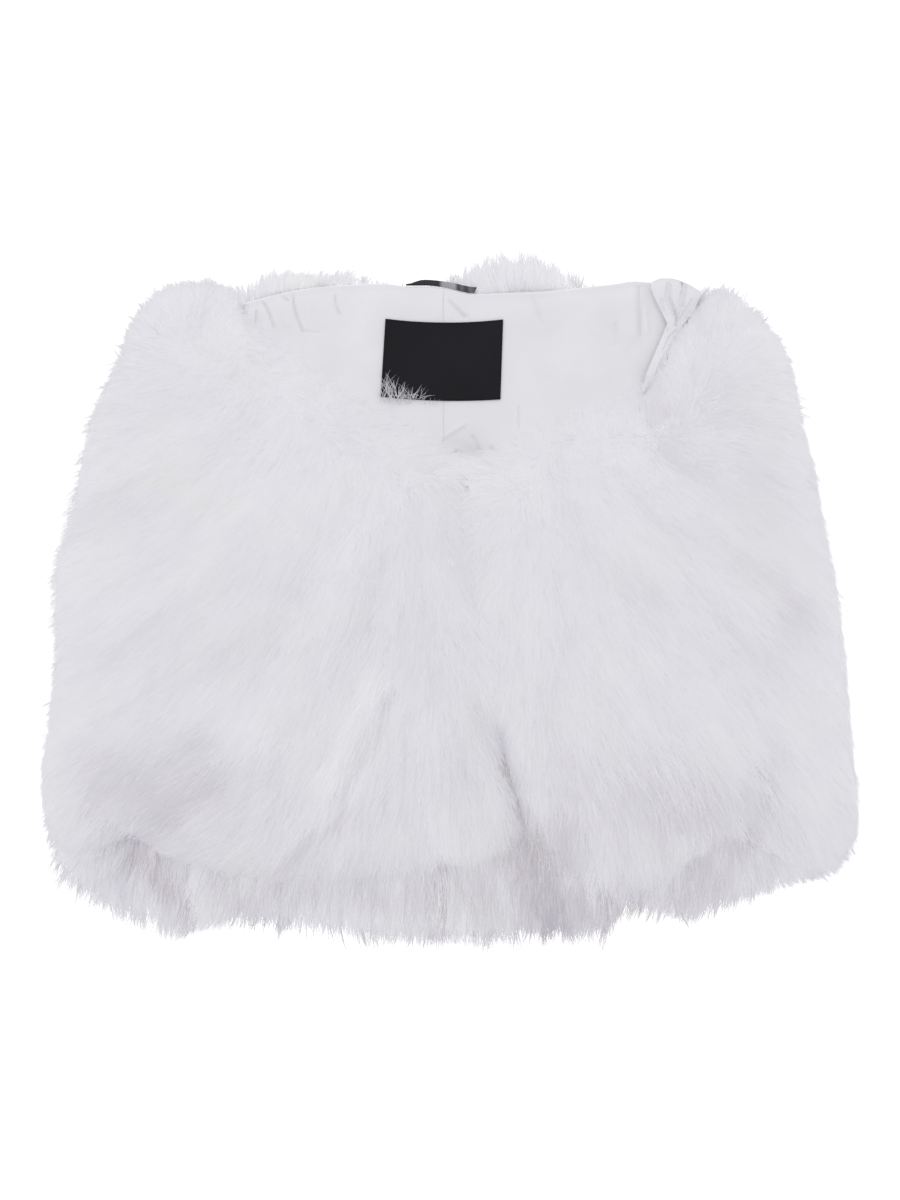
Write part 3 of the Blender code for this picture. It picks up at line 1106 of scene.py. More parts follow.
    def weave(self, name: str, rows: Array, shade: Array, tone: Array, thin: float = 1.0) -> bpy.types.Object:
        """Makes one mesh of many hairs.

        A hair is two four-sided faces and a pointed one. Its width lies across its run and across the
        shading normal, rolled a little, so that its faces look outwards. Its map holds its tone across and
        the share of its length up.

        Args:
            name: The piece's name.
            rows: Rows of points of every hair.
            shade: The normal that each hair is shaded with.
            tone: The tone of each hair.
            thin: Factor on the widths.

        Returns:
            The object.
        """
        count = len(rows)
        rng = np.random.default_rng(self.seed + 91)
        run = unit(np.gradient(rows, axis=1))
        across = unit(np.cross(run, shade[:, None]))
        facing = np.cross(across, run)
        roll = rng.normal(0.0, 0.35, count)[:, None, None]
        across = across * np.cos(roll) + facing * np.sin(roll)
        widths = np.array(self.WIDTHS) * MM * thin * 0.5
        half = widths[None, :, None] * rng.uniform(0.7, 1.3, count)[:, None, None] * across[:, :3]
        points = np.empty((count, 7, 3))
        points[:, 0:6:2] = rows[:, :3] - half
        points[:, 1:6:2] = rows[:, :3] + half
        points[:, 6] = rows[:, 3]
        corners = (np.arange(count)[:, None] * 7 + self.FACES).ravel()
        piece = new_mesh(name, points.reshape(-1, 3), corners, np.tile(self.SIZES, count))
        normals = piece.data.attributes.new("custom_normal", "FLOAT_VECTOR", "POINT")
        normals.data.foreach_set("vector", np.repeat(shade, 7, axis=0).astype(np.float32).ravel())
        place = np.empty((count, 7, 2))
        place[..., 0] = np.clip(tone, 0.003, 0.997)[:, None] + np.array(self.SIDES) / 520.0
        place[..., 1] = self.UP
        layer = piece.data.uv_layers.new(name=self.MAP)
        layer.data.foreach_set("uv", place[:, self.FACES].astype(np.float32).ravel())
        return piece


@dataclass(frozen=True)
class FurPiece:
    """One fur piece: its skin with undercoat, and its pile."""

    COLUMNS = 240
    DOME_RINGS = 46
    # rings of the back: flat below, turned up round the rim, and in over the top
    FLAT_RINGS = 15
    TURN_RINGS = 8
    INNER_RINGS = 29
    RIM_SHARE = 0.97
    INNER_SHARE = 0.36
    # first ring that carries pile, and the rings between which tips stand
    PILE_RING = {Shape.FRONT: 0, Shape.BACK: 17}
    TIP_RINGS = {Shape.FRONT: (36, 46), Shape.BACK: (14, 25)}
    NECK_RINGS = (15, 19)
    # depth of the pile for each square millimetre of its length, and the height and limit of billows
    DEPTH = 0.0048
    BILLOW = 1.0 * MM
    BILLOWS = 2.0
    # how deep a place lies under other pieces before it carries no hair
    COVERED = 14 * MM

    name: str
    node: str
    shape: Shape
    heart: tuple[float, float]
    flow: Table
    rim: Table
    pile: Pile
    flat: tuple[float, float]
    area: float
    rests_on: tuple[str, ...]
    upright: Table = ()
    gentle: Table = ()
    ridges: Table = ()
    tips: Pile | None = None
    under: Pile | None = None

    def skin(self, solid: Solid, crown: Crown, combed: tuple[Combed, Combed]) -> Skin:
        """The skin as a grid of rings round the heart.

        A front is a dome: its height is the crown of the solid less the pile's depth, brought to the lower
        edge by a steep rounded fall at the rim. The back is a tray: flat below, turned up round the rim
        and in over the lower edge of the crown, as far as the fronts and the lining hide it.

        Args:
            solid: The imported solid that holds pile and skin.
            crown: Heights of its top.
            combed: Broad and narrow streaks along the lie, which the skin's billows follow.

        Returns:
            The skin.
        """
        turns = np.linspace(0.0, 2 * np.pi, self.COLUMNS, endpoint=False)
        heart = np.array(self.heart) * MM
        outline = heart + solid.reach(heart, turns)[:, None] * rays(turns)
        inset = near(self.rim, outline[:, 0], outline[:, 1], RIM_SPREAD)[:, 0]
        rim = np.linalg.norm(outline - heart, axis=1) - inset * MM
        rim = sum(np.roll(rim, step) for step in (-1, 0, 1)) / 3.0
        low = float(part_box(self.node)[0][2])
        if self.shape is Shape.FRONT:
            share = 1.0 - (1.0 - np.linspace(0.0, 1.0, self.DOME_RINGS)) ** 1.8
            hem = np.clip((inset - 10.0) / 5.0, 0.0, 1.35)
            hem = np.clip(hem + bumps(self.gentle, outline[:, 0], outline[:, 1]) / MM, 0.0, 1.7)
            fall = (1.0 - share[:, None] ** (7.0 - 2.5 * hem)) ** (1 / (3.5 - 1.3 * hem))
            floor, facing = 0.6 * MM, 1.0
        else:
            turn = np.linspace(0.0, np.pi, self.TURN_RINGS + 1)[1:]
            flat = np.linspace(0.0, self.RIM_SHARE, self.FLAT_RINGS)
            inner = np.linspace(self.RIM_SHARE, self.INNER_SHARE, self.INNER_RINGS + 1)[1:]
            share = np.concatenate([flat, self.RIM_SHARE + 0.03 * np.sin(turn), inner])
            fall = np.concatenate([0.0 * flat, 0.5 - 0.5 * np.cos(turn), np.ones(self.INNER_RINGS)])[:, None]
            floor, facing = 1.2 * MM, -1.0
        held = np.clip(bumps(self.upright, outline[:, 0], outline[:, 1]) / MM, 0.0, 0.96)
        fall = fall + (1.0 - fall) * held
        place = heart + (share[:, None] * rim)[..., None] * rays(turns)
        x, y = place[..., 0], place[..., 1]
        hair = near(self.flow, x, y, LENGTH_SPREAD)[..., 1]
        height = crown.at(x, y) - low
        sink = np.minimum(self.DEPTH * hair**2 * MM, 0.5 * height)
        if self.shape is Shape.BACK:
            sink[: self.FLAT_RINGS + 1] = 0.5 * MM
        broad, narrow = (streaks.at(x, y, self.BILLOWS) for streaks in combed)
        ripple = self.BILLOW * broad + 0.45 * self.BILLOW * narrow + bumps(self.ridges, x, y)
        z = low + floor + (np.maximum(height - sink, 1.0 * MM) + ripple - floor) * fall
        points = np.stack([x, y, np.maximum(z, low + floor)], axis=-1)
        normals = grid_normals(points)
        normals[0] = (0.0, 0.0, facing)
        if self.shape is Shape.FRONT:
            normals = normals * np.where(normals[..., 2:] < -0.2, -1.0, 1.0)
        return Skin(points, normals, sink)

    def build(self, hidden: Measure, ground: Measure, tone_and_painted_light: ToneAndPaintedLight, looks: "Looks") -> None:
        """Makes the skin and the pile, and logs how many hairs they hold.

        Args:
            hidden: Gives how far each place lies under other pieces, in metres.
            ground: Gives the lowest height that a hair may have.
            tone_and_painted_light: Tones over the stole, with the light and shade painted into them.
            looks: The materials.
        """
        solid = Solid.of(self.node)
        seed = self.pile.seed
        combed = (Combed(self.flow, 6, 45.0, seed + 3), Combed(self.flow, 2, 36.0, seed + 5))
        skin = self.skin(solid, Crown([solid], 2), combed)
        outward = skin.points[:, :: -1 if self.shape is Shape.FRONT else 1]
        cover = dress(ring_piece(self.name + "_skin", outward), looks.undercoat, self.node)
        outline = Outline.of(solid, self.heart, self.rim)
        shown = (hidden(skin.points[..., 0], skin.points[..., 1]) < self.COVERED).astype(float)
        ring = np.arange(len(shown))[:, None]
        if self.shape is Shape.BACK:
            shown = np.where((ring >= self.NECK_RINGS[0]) & (ring <= self.NECK_RINGS[1]), 1.0, shown)
        low, high = self.TIP_RINGS[self.shape]
        below = np.broadcast_to(1.0 * (ring <= self.FLAT_RINGS), shown.shape)
        places = (shown * (ring >= self.PILE_RING[self.shape]), shown * ((ring > low) & (ring < high)), below)
        laid = [
            pile.lay(skin, self.flow, keep, outline, ground, tone_and_painted_light, combed)
            for pile, keep in zip((self.pile, self.tips, self.under), places)
            if pile
        ]
        rows, shade, tone = (np.concatenate(part) for part in zip(*laid))
        parts = math.ceil(len(rows) / self.pile.MOST)
        for number in range(parts):
            chosen = slice(number, None, parts)
            name = f"{self.name}_pile_{number + 1}"
            piece = self.pile.weave(name, rows[chosen], shade[chosen], tone[chosen])
            piece.visible_shadow = piece.visible_diffuse = False
            dress(piece, looks.pile)
        below = list(self.rests_on)
        log.info("%s: %d hairs in %d pieces", self.name, len(rows), parts)


# ---------------------------------------------------------------- satin, label and loop


@dataclass(frozen=True)
class Cloth:
    """What every cloth piece shares: its name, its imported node, and its flat size in metres."""

    name: str
    node: str
    flat: tuple[float, float]

    def packed(self) -> tuple[Solid, Array, Array]:
        """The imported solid, and the low and the high corner of its box."""
        low, high = (np.array(corner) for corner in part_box(self.node))
        return Solid.of(self.node), low, high


@dataclass(frozen=True)
class Lining(Cloth):
    """One half of the satin lining, gathered into the neck edge, with its edge rolled over."""

    ROWS = 100
    ROLL_ROWS = 7
    ROLL = 1.6 * MM
    HANG = 1.6 * MM
    GAP = -0.12 * MM
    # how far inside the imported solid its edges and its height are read, and how wide a tucked edge is
    SHY = 0.4 * MM
    INSIDE = 3.5 * MM
    INSIDE_TOP = 3.0 * MM
    TUCKED = 4.0 * MM

    area: float
    creases: Table
    columns: int = 150
    tuck: float = 0.0

    def build(self, looks: "Looks") -> None:
        """Makes the half.

        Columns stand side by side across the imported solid, each running from its lower edge to the neck
        edge. The height is the solid's softened top plus the creases, and past the neck edge the cloth
        goes over on a quarter circle and hangs a little. Its left end is tucked down under the fur.

        Args:
            looks: The materials.
        """
        solid, low, high = self.packed()
        x = np.linspace(low[0] + self.GAP, high[0] - self.GAP, self.columns)
        bottom, top = solid.span(np.clip(x, low[0] + self.SHY, high[0] - self.SHY), 0)
        up = np.linspace(0.0, 1.0, self.ROWS)[:, None]
        top = top - self.ROLL
        y = bottom + up * (top - bottom)
        wide = np.broadcast_to(x, y.shape)
        inside_x = np.clip(wide, low[0] + self.INSIDE, high[0] - self.INSIDE)
        inside_y = np.clip(y, bottom + self.INSIDE, top - self.INSIDE_TOP)
        z = Crown([solid], 1, float(low[2])).at(inside_x, inside_y)
        z = z + bumps(self.creases, wide, y) * np.minimum(1.0, 0.35 + (1.0 - up) * 6.0)
        z = z - self.tuck * np.clip(1.0 - (x - low[0]) / self.TUCKED, 0.0, 1.0) ** 2
        over = np.linspace(0.0, 1.0, self.ROLL_ROWS)[1:, None] * np.pi / 2
        roll_y = y[-1] + self.ROLL * np.sin(over)
        roll_z = z[-1] - self.ROLL * (1.0 - np.cos(over)) * 1.2
        y = np.concatenate([y, roll_y, roll_y[-1:]])
        z = np.concatenate([z, roll_z, roll_z[-1:] - self.HANG])
        piece = grid_piece(self.name, np.stack([np.broadcast_to(x, y.shape), y, z], axis=-1))
        dress(piece, looks.satin, self.node)
        log.info("%s: %d points", self.name, y.size)


@dataclass(frozen=True)
class Facing(Cloth):
    """The satin facing of the right front, pleated to a narrow strip and turned out over the fur."""

    COLUMNS = 80
    ROWS = 150
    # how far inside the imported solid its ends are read, and its height along and across
    SHY = 0.4 * MM
    INSIDE = 2.5 * MM
    INSIDE_WIDE = 2.6 * MM
    # how far the free edge comes down, over which width, and the width over which pleats fade
    DROP = 1.5 * MM
    DROP_WIDE = 1.8 * MM
    FADE = 2.0 * MM

    area: float
    creases: Table

    def build(self, looks: "Looks") -> None:
        """Makes the facing.

        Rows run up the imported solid, each from its free edge to its seam. The height is the solid's
        softened top plus the pleats, brought down at the free edge as on a soft roll of cloth.

        Args:
            looks: The materials.
        """
        solid, low, high = self.packed()
        y = np.linspace(low[1] + self.SHY, high[1] - self.SHY, self.ROWS)
        left, right = (edge[:, None] for edge in solid.span(y, 1))
        across = 0.5 - 0.5 * np.cos(np.linspace(0.0, np.pi, self.COLUMNS))
        width = right - left
        x = left + across * width
        tall = np.broadcast_to(y[:, None], x.shape)
        keep = np.minimum(self.INSIDE_WIDE, width * 0.3)
        inside_y = np.clip(tall, low[1] + self.INSIDE, high[1] - self.INSIDE)
        z = Crown([solid], 1, float(low[2])).at(np.clip(x, left + keep, right - keep), inside_y)
        edge = np.minimum(across, 1.0 - across) * width
        drop = self.DROP * (1.0 - np.clip(across * width / self.DROP_WIDE, 0.0, 1.0)) ** 2
        z = z + bumps(self.creases, x, tall) * np.clip(edge / self.FADE, 0.0, 1.0) - drop
        z = np.maximum(z, float(low[2]))
        piece = grid_piece(self.name, np.stack([x, tall, z], axis=-1))
        dress(piece, looks.satin, self.node)
        log.info("%s: %d points", self.name, x.size)


@dataclass(frozen=True)
class NeckLabel(Cloth):
    """The bare black woven label, its side ends folded under, sewn down along its edge."""

    COLUMNS = 61
    ROWS = 41
    # the folded ends' width and thickness, and how softly the fold shows
    FOLD = 5.0 * MM
    THICK = 0.25 * MM
    SOFT = 0.3 * MM
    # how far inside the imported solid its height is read, how high it ripples, and how its border turns down
    INSIDE = 6.0 * MM
    RIPPLE = 0.12 * MM
    DROP = 0.5 * MM
    DROP_WIDE = 0.6 * MM
    # length of a stitch with its gap, its inset from the border, how high it rises and how deep it sinks
    STITCH = 2.6 * MM
    INSET = 1.1 * MM
    RISE = 0.16 * MM
    SUNK = 0.05 * MM
    # half the thread's thickness, points round it, and rings along a stitch
    THREAD = 0.17 * MM
    ROUND = 6
    STATIONS = 5

    name: str = "neck_label_bare"
    node: str = "neck_label"
    flat: tuple[float, float] = (0.090, 0.059)

    def surface(self, u: Array, v: Array) -> Array:
        """Points of the label, u across and v up it, both from 0 to 1.

        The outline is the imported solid's. The height is its top, a little thicker at the two folded ends,
        rippled very slightly as a sewn label is, and turned down at the border.

        Args:
            u: Shares across.
            v: Shares up.

        Returns:
            Points in metres, of the shape of u with a last axis of three.
        """
        solid, low, high = self.packed()
        places = solid.triangles[:, :, :2].reshape(-1, 2)
        middle = (low + high)[:2] / 2
        rows = []
        for up, edge in zip((-1, 1), solid.span(middle[:1], 0)):
            left, right = (places[np.argmax((places - middle) @ np.array([side, up]))] for side in (-1, 1))
            row = left + u[..., None] * (right - left)
            row[..., 1] += (float(edge[0]) - (left + right)[1] / 2) * 4.0 * u * (1.0 - u)
            rows.append(row)
        lower, upper = rows
        x, y = np.moveaxis(lower + v[..., None] * (upper - lower), -1, 0)
        wide, tall = high[0] - low[0], high[1] - low[1]
        side = np.minimum(u, 1.0 - u) * wide
        edge = np.minimum(side, np.minimum(v, 1.0 - v) * tall)
        inside_x = np.clip(x, low[0] + self.INSIDE, high[0] - self.INSIDE)
        inside_y = np.clip(y, low[1] + self.INSIDE, high[1] - self.INSIDE)
        z = Crown([solid], 3, float(high[2])).at(inside_x, inside_y)
        z = z + self.THICK / (1.0 + np.exp((side - self.FOLD) / self.SOFT))
        z = z + self.RIPPLE * np.sin(x / MM / 7.0) * np.sin(y / MM / 9.0 + 1.0)
        z = z - self.DROP * np.clip(1.0 - edge / self.DROP_WIDE, 0.0, 1.0) ** 2
        return np.stack([x, y, z], axis=-1)

    @staticmethod
    def marks(count: int, border: float) -> Array:
        """Shares along one side of the label, closer at its two ends, where the border turns down.

        Args:
            count: How many shares lie between the borders.
            border: The border's share of the side.

        Returns:
            The shares, from 0 to 1.
        """
        ease = (0.5 - 0.5 * np.cos(np.linspace(0.0, np.pi, 9)))[:4] * border * 1.5
        first = round(border, 2)
        return np.unique(np.concatenate([ease, np.linspace(first, 1 - first, count), 1 - ease[::-1]]))

    def build(self, looks: "Looks") -> None:
        """Makes the label and its stitches.

        Args:
            looks: The materials.
        """
        u, v = np.meshgrid(self.marks(self.COLUMNS, 0.02), self.marks(self.ROWS, 0.03))
        piece = dress(grid_piece(self.name, self.surface(u, v)), looks.label, self.node)
        stitches = self.stitches(looks)
        log.info("%s: bare, with its stitches", self.name)

    def stitches(self, looks: "Looks") -> bpy.types.Object:
        """Stitches along the label's border, each a small hump of thread.

        A stitch is a ring of points carried along its stations. Its height over the label is a half sine,
        so both ends go into the cloth.

        Args:
            looks: The materials.

        Returns:
            The object that holds all the stitches.
        """
        size = np.array(self.flat)
        inset, half = self.INSET / size, 0.36 * self.STITCH / size
        across, along = counts = [round(side / self.STITCH) for side in self.flat]
        u_marks, v_marks = (
            edge + (np.arange(count) + 0.5) / count * (1 - 2 * edge) for edge, count in zip(inset, counts)
        )
        mid_u = np.concatenate([u_marks, u_marks, np.full(along, inset[0]), np.full(along, 1 - inset[0])])
        mid_v = np.concatenate([np.full(across, inset[1]), np.full(across, 1 - inset[1]), v_marks, v_marks])
        run_u = np.concatenate([np.full(2 * across, half[0]), np.zeros(2 * along)])
        run_v = np.concatenate([np.zeros(2 * across), np.full(2 * along, half[1])])
        station = np.linspace(-1.0, 1.0, self.STATIONS)
        u, v = (mid[:, None] + run[:, None] * station for mid, run in ((mid_u, run_u), (mid_v, run_v)))
        centre = self.surface(u, v)
        centre[..., 2] += self.RISE * np.cos(station * np.pi / 2) - self.SUNK
        way = unit(np.gradient(centre, axis=1))
        side = unit(np.cross(way, (0.0, 0.0, 1.0)))
        turn = np.arange(self.ROUND) * 2 * np.pi / self.ROUND
        ring = side[:, :, None] * np.cos(turn)[:, None]
        ring = ring + np.cross(side, way)[:, :, None] * np.sin(turn)[:, None]
        points = centre[:, :, None] + self.THREAD * ring
        faces = grid_faces(self.STATIONS, self.ROUND, True)
        end = np.arange(self.ROUND)
        caps = np.concatenate([end, end[::-1] + (self.STATIONS - 1) * self.ROUND])
        first = np.arange(len(points))[:, None] * self.STATIONS * self.ROUND
        corners = (first + np.concatenate([faces.ravel(), caps])).ravel()
        sizes = np.tile([*np.full(len(faces), 4), self.ROUND, self.ROUND], len(points))
        piece = new_mesh("neck_label_stitches", points.reshape(-1, 3), corners, sizes)
        return dress(piece, looks.label)


@dataclass(frozen=True)
class HangerLoop(Cloth):
    """The black satin ribbon that the stole hangs by, arched over the neck edge."""

    COLUMNS = 80
    ROWS = 13
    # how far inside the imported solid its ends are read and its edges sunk, and how thick the ribbon is
    SHY = 0.2 * MM
    SUNK = 0.4 * MM
    WALL = 0.6 * MM
    # heights of the crown, of the twist and of the ribs
    CROWN = 0.7 * MM
    TWIST = 0.5 * MM
    RIB = 0.05 * MM

    name: str = "hanger_ribbon"
    node: str = "hanger_loop"
    flat: tuple[float, float] = (0.0565, 0.010)
    width: float = 0.0048

    def build(self, looks: "Looks") -> None:
        """Makes the ribbon.

        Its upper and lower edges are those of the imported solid. Between them it is crowned like a shallow
        arch, and it is slightly twisted along its run, so that its gloss breaks into stretches.

        Args:
            looks: The materials.
        """
        solid, low, high = self.packed()
        x = np.linspace(low[0] + self.SHY, high[0] - self.SHY, self.COLUMNS)
        bottom, top = solid.span(x, 0)
        across = np.linspace(0.0, 1.0, self.ROWS)[:, None]
        y = bottom + across * (top - bottom)
        wide = np.broadcast_to(x, y.shape)
        crowned = self.CROWN * np.sin(np.pi * across)
        twist = self.TWIST * (across - 0.5) * np.sin(wide / MM / 6.5)
        ribs = self.RIB * np.sin(across * np.pi * 10.0)
        z = high[2] - self.SUNK + crowned + twist + ribs
        piece = grid_piece(self.name, np.stack([wide, y, z], axis=-1))
        wall = piece.modifiers.new("wall", "SOLIDIFY")
        wall.thickness, wall.offset = self.WALL, -1.0
        dress(piece, looks.ribbon, self.node)
        log.info("%s: arched", self.name)


@dataclass(frozen=True)
class LabelWisps:
    """Thin stray hairs of the left front that lie over the label's lower corner."""

    name: str = "front_left_wisps"
    count: int = 130
    seed: int = 71
    # from x, to x, lowest y and how far up they reach, in millimetres; then their share of the hairs
    tufts: Table = (
        (-52, -40, 147.5, 21, 0.40),
        (-42, -30, 147.0, 15, 0.30),
        (-31, -20, 146.6, 13, 0.22),
        (-21, -7, 146.0, 5, 0.08),
    )
    # mean lie and its play in degrees, play of the bend, height of the arch (mm), range of tone
    lie: tuple[float, float] = (84.0, 36.0)
    bend: float = 0.28
    arch: float = 1.2
    tones: tuple[float, float] = (0.24, 0.6)
    # how far above the label the roots stand, and the tallest reach that counts, in millimetres
    above: float = 0.5
    tallest: float = 17.0
    thin: float = 0.5

    def build(self, looks: "Looks") -> bpy.types.Object:
        """Makes the hairs, crossing each other, just clear of the label.

        A hair runs straight from its root, with a bend that grows as the square of its run, and arches as
        half a wave above the label.

        Args:
            looks: The materials.

        Returns:
            The object.
        """
        rng = np.random.default_rng(self.seed)
        rows = np.array(self.tufts)
        chosen = rng.choice(len(rows), self.count, p=rows[:, 4] / rows[:, 4].sum())
        left, right, lowest, rise, _ = rows[chosen].T
        x = rng.uniform(left, right)
        y = lowest + rise * 0.62 * rng.random(self.count) ** 1.6 - 1.5
        level = float(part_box("neck_label")[1][2]) / MM + self.above
        root = np.stack([x, y, np.full(self.count, level)], axis=1)
        turn = np.radians(rng.normal(*self.lie, self.count))
        length = rng.uniform(0.3, 0.9, self.count) * np.minimum(rise, self.tallest) + 1.0
        way = np.column_stack([rays(turn), np.zeros(self.count)])
        side = np.stack([-way[:, 1], way[:, 0], way[:, 2]], axis=1)
        t = Pile.ROWS
        bend = rng.normal(0.0, self.bend, self.count)[:, None, None]
        points = root[:, None] + length[:, None, None] * (t * way[:, None] + bend * t**2 * side[:, None])
        arch = self.arch * rng.uniform(0.2, 1.0, self.count)[:, None]
        points[..., 2] += arch * np.sin(t[..., 0] * np.pi)
        shade = np.tile((0.0, 0.0, 1.0), (self.count, 1))
        tone = rng.uniform(*self.tones, self.count)
        piece = Pile(1, 1, 0.0, self.seed).weave(self.name, points * MM, shade, tone, self.thin)
        log.info("%s: %d hairs", self.name, self.count)
        return dress(piece, looks.pile)


# ---------------------------------------------------------------- stage


@dataclass(frozen=True)
class Studio:
    """A plain white floor, soft even light and the camera above."""

    lens: float = 85.0
    sensor: float = 36.0
    view_height: float = 0.888
    level: float = 35 * MM
    dome: float = 0.83
    lamp: float = 3.7
    lamp_size: tuple[float, float] = (1.8, 1.2)
    lamp_place: Colour = (-0.35, 0.9, 1.5)
    glow: float = 0.4

    def build(self) -> None:
        """Makes the floor, the light and the camera, which sees the view height at the stole's mid level."""
        scene = bpy.context.scene
        scene.view_settings.view_transform = "Standard"
        scene.view_settings.look = "None"
        scene.world = bpy.data.worlds.new("studio")
        scene.world.use_nodes = True
        sky = scene.world.node_tree.nodes["Background"].inputs
        sky[0].default_value, sky[1].default_value = (1.0, 1.0, 1.0, 1.0), self.dome
        x, y = np.meshgrid(*[np.linspace(-3.0, 3.0, 9)] * 2)
        floor = grid_piece("floor", np.stack([x, y, np.zeros_like(x)], axis=-1))
        material, nodes, shader = Finish("pale_floor", roughness=0.9, gloss=0.1).start()
        grain = nodes.noise(nodes.place(), 40.0, 2.0)
        nodes.feed(shader, "Base Color", nodes.ramp(grain, ((0.3, (0.94,) * 3), (0.7, (0.96,) * 3))))
        nodes.feed(shader, "Emission Color", (1.0, 1.0, 1.0, 1.0))
        nodes.feed(shader, "Emission Strength", self.glow)
        floor.data.materials.append(material)
        light = bpy.data.lights.new("soft_box", "AREA")
        light.shape, light.energy = "RECTANGLE", self.lamp
        light.size, light.size_y = self.lamp_size
        lamp = bpy.data.objects.new("soft_box", light)
        lamp.location = self.lamp_place
        lamp.rotation_euler = (-Vector(self.lamp_place)).to_track_quat("-Z", "Y").to_euler()
        view = bpy.data.cameras.new("camera")
        view.lens, view.sensor_width = self.lens, self.sensor
        camera = bpy.data.objects.new("camera", view)
        camera.location = (0.0, 0.0, self.level + self.view_height * self.lens / self.sensor)
        for item in (lamp, camera):
            scene.collection.objects.link(item)
        scene.camera = camera
        log.info("studio: camera %.2f m above the floor", camera.location.z)


@dataclass
class Looks:
    """The materials, made once."""

    pile: bpy.types.Material
    undercoat: bpy.types.Material
    satin: bpy.types.Material
    label: bpy.types.Material
    ribbon: bpy.types.Material

    @classmethod
    def make(cls) -> "Looks":
        """Builds the shared groups, then each material on them.

        Returns:
            The materials.
        """
        colour, weave = fur_colour_group(), weave_group()
        satin = ClothFinish(
            "white_satin", 0.42, 0.1, 0.4, 0.3, deep=(0.80, 0.793, 0.833), light=(0.845, 0.838, 0.873)
        )
        label = ClothFinish(
            "black_label", 0.62, 0.0, 0.4, 0.12,
            deep=(0.011, 0.011, 0.014), light=(0.014, 0.014, 0.018), pitch=700.0,
        )
        # the ribbon's grey stripes are a painted highlight
        ribbon = ClothFinish(
            "black_ribbon", 0.4, 0.1, 0.3, 0.3,
            deep=(0.012, 0.015, 0.018), light=(0.022, 0.024, 0.028), pitch=500.0,
            relief=0.15 * MM, bands=(-34.0, 19.5), painted_gloss=RIBBON_PAINTED_GLOSS,
        )
        return cls(
            pile=PileFinish("white_pile", roughness=0.7, sheen=0.25, gloss=0.25).make(colour),
            undercoat=UndercoatFinish("white_undercoat", roughness=0.9, sheen=0.2, gloss=0.1).make(colour),
            satin=satin.make(weave),
            label=label.make(weave),
            ribbon=ribbon.make(weave),
        )


# ---------------------------------------------------------------- this stole


# share of the ribbon's run, and the grey of the highlight painted there
RIBBON_PAINTED_GLOSS: Table = (
    (0.0, 0.0), (0.48, 0.0), (0.53, 0.42), (0.70, 0.48), (0.745, 0.04), (0.80, 0.16), (0.86, 0.03),
    (0.92, 0.18), (1.0, 0.06),
)

# x, y (mm), lie (degrees), length (mm), clumping
LEFT_FLOW: Table = (
    (-157, 226, 50, 24, 0.5), (-180, 238, 100, 20, 0.5), (-212, 232, 125, 20, 0.5),
    (-235, 212, 145, 23, 0.5), (-247, 180, 170, 18, 0.5), (-263, 145, 180, 22, 0.5),
    (-271, 105, 192, 28, 0.5), (-279, 60, 200, 30, 0.5), (-291, 25, 205, 28, 0.5),
    (-294, -30, 215, 22, 0.5), (-299, -90, 205, 22, 0.5), (-304, -130, 205, 22, 0.5),
    (-300, -170, 225, 22, 0.5), (-288, -192, 240, 24, 0.6), (-152, 200, 15, 24, 0.4),
    (-121, 183, 30, 26, 0.4), (-74, 148, 50, 26, 0.4), (-37, 133, 60, 26, 0.4), (-4, 111, 30, 20, 0.4),
    (9, 102, -20, 16, 0.4), (12, 60, -55, 22, 0.45), (20, 0, -55, 24, 0.45), (28, -60, -58, 26, 0.5),
    (41, -118, -66, 24, 0.6), (55, -165, -70, 26, 0.7), (48, -180, -76, 30, 0.7), (36, -189, -86, 34, 0.75),
    (-12, -203, -93, 36, 0.75), (-81, -211, -98, 36, 0.75), (-125, -210, -112, 34, 0.7),
    (-155, -208, -130, 32, 0.7), (-190, -200, -165, 30, 0.7), (-205, -196, 205, 30, 0.7),
    (-232, -178, 250, 26, 0.6), (-250, -178, 250, 26, 0.6), (-268, -196, 262, 32, 0.6),
    (-200, 150, 200, 24, 0.4), (-150, 150, 215, 22, 0.4), (-110, 120, 235, 24, 0.4),
    (-60, 100, 250, 24, 0.4), (-20, 70, 262, 24, 0.4), (-210, 90, 215, 26, 0.4), (-150, 70, 225, 28, 0.45),
    (-90, 40, 240, 30, 0.5), (-30, 10, 256, 30, 0.55), (-230, 20, 215, 28, 0.45), (-180, -10, 225, 30, 0.5),
    (-120, -40, 236, 32, 0.6), (-60, -50, 247, 34, 0.65), (-5, -60, 262, 32, 0.65),
    (-240, -60, 215, 28, 0.5), (-190, -80, 225, 30, 0.6), (-140, -110, 234, 34, 0.65),
    (-80, -115, 246, 36, 0.7), (-25, -130, 262, 36, 0.7), (-235, -125, 220, 28, 0.6),
    (-190, -145, 200, 30, 0.65), (-140, -165, 230, 34, 0.7), (-80, -170, 252, 36, 0.7),
    (0, -165, 268, 36, 0.7),
)

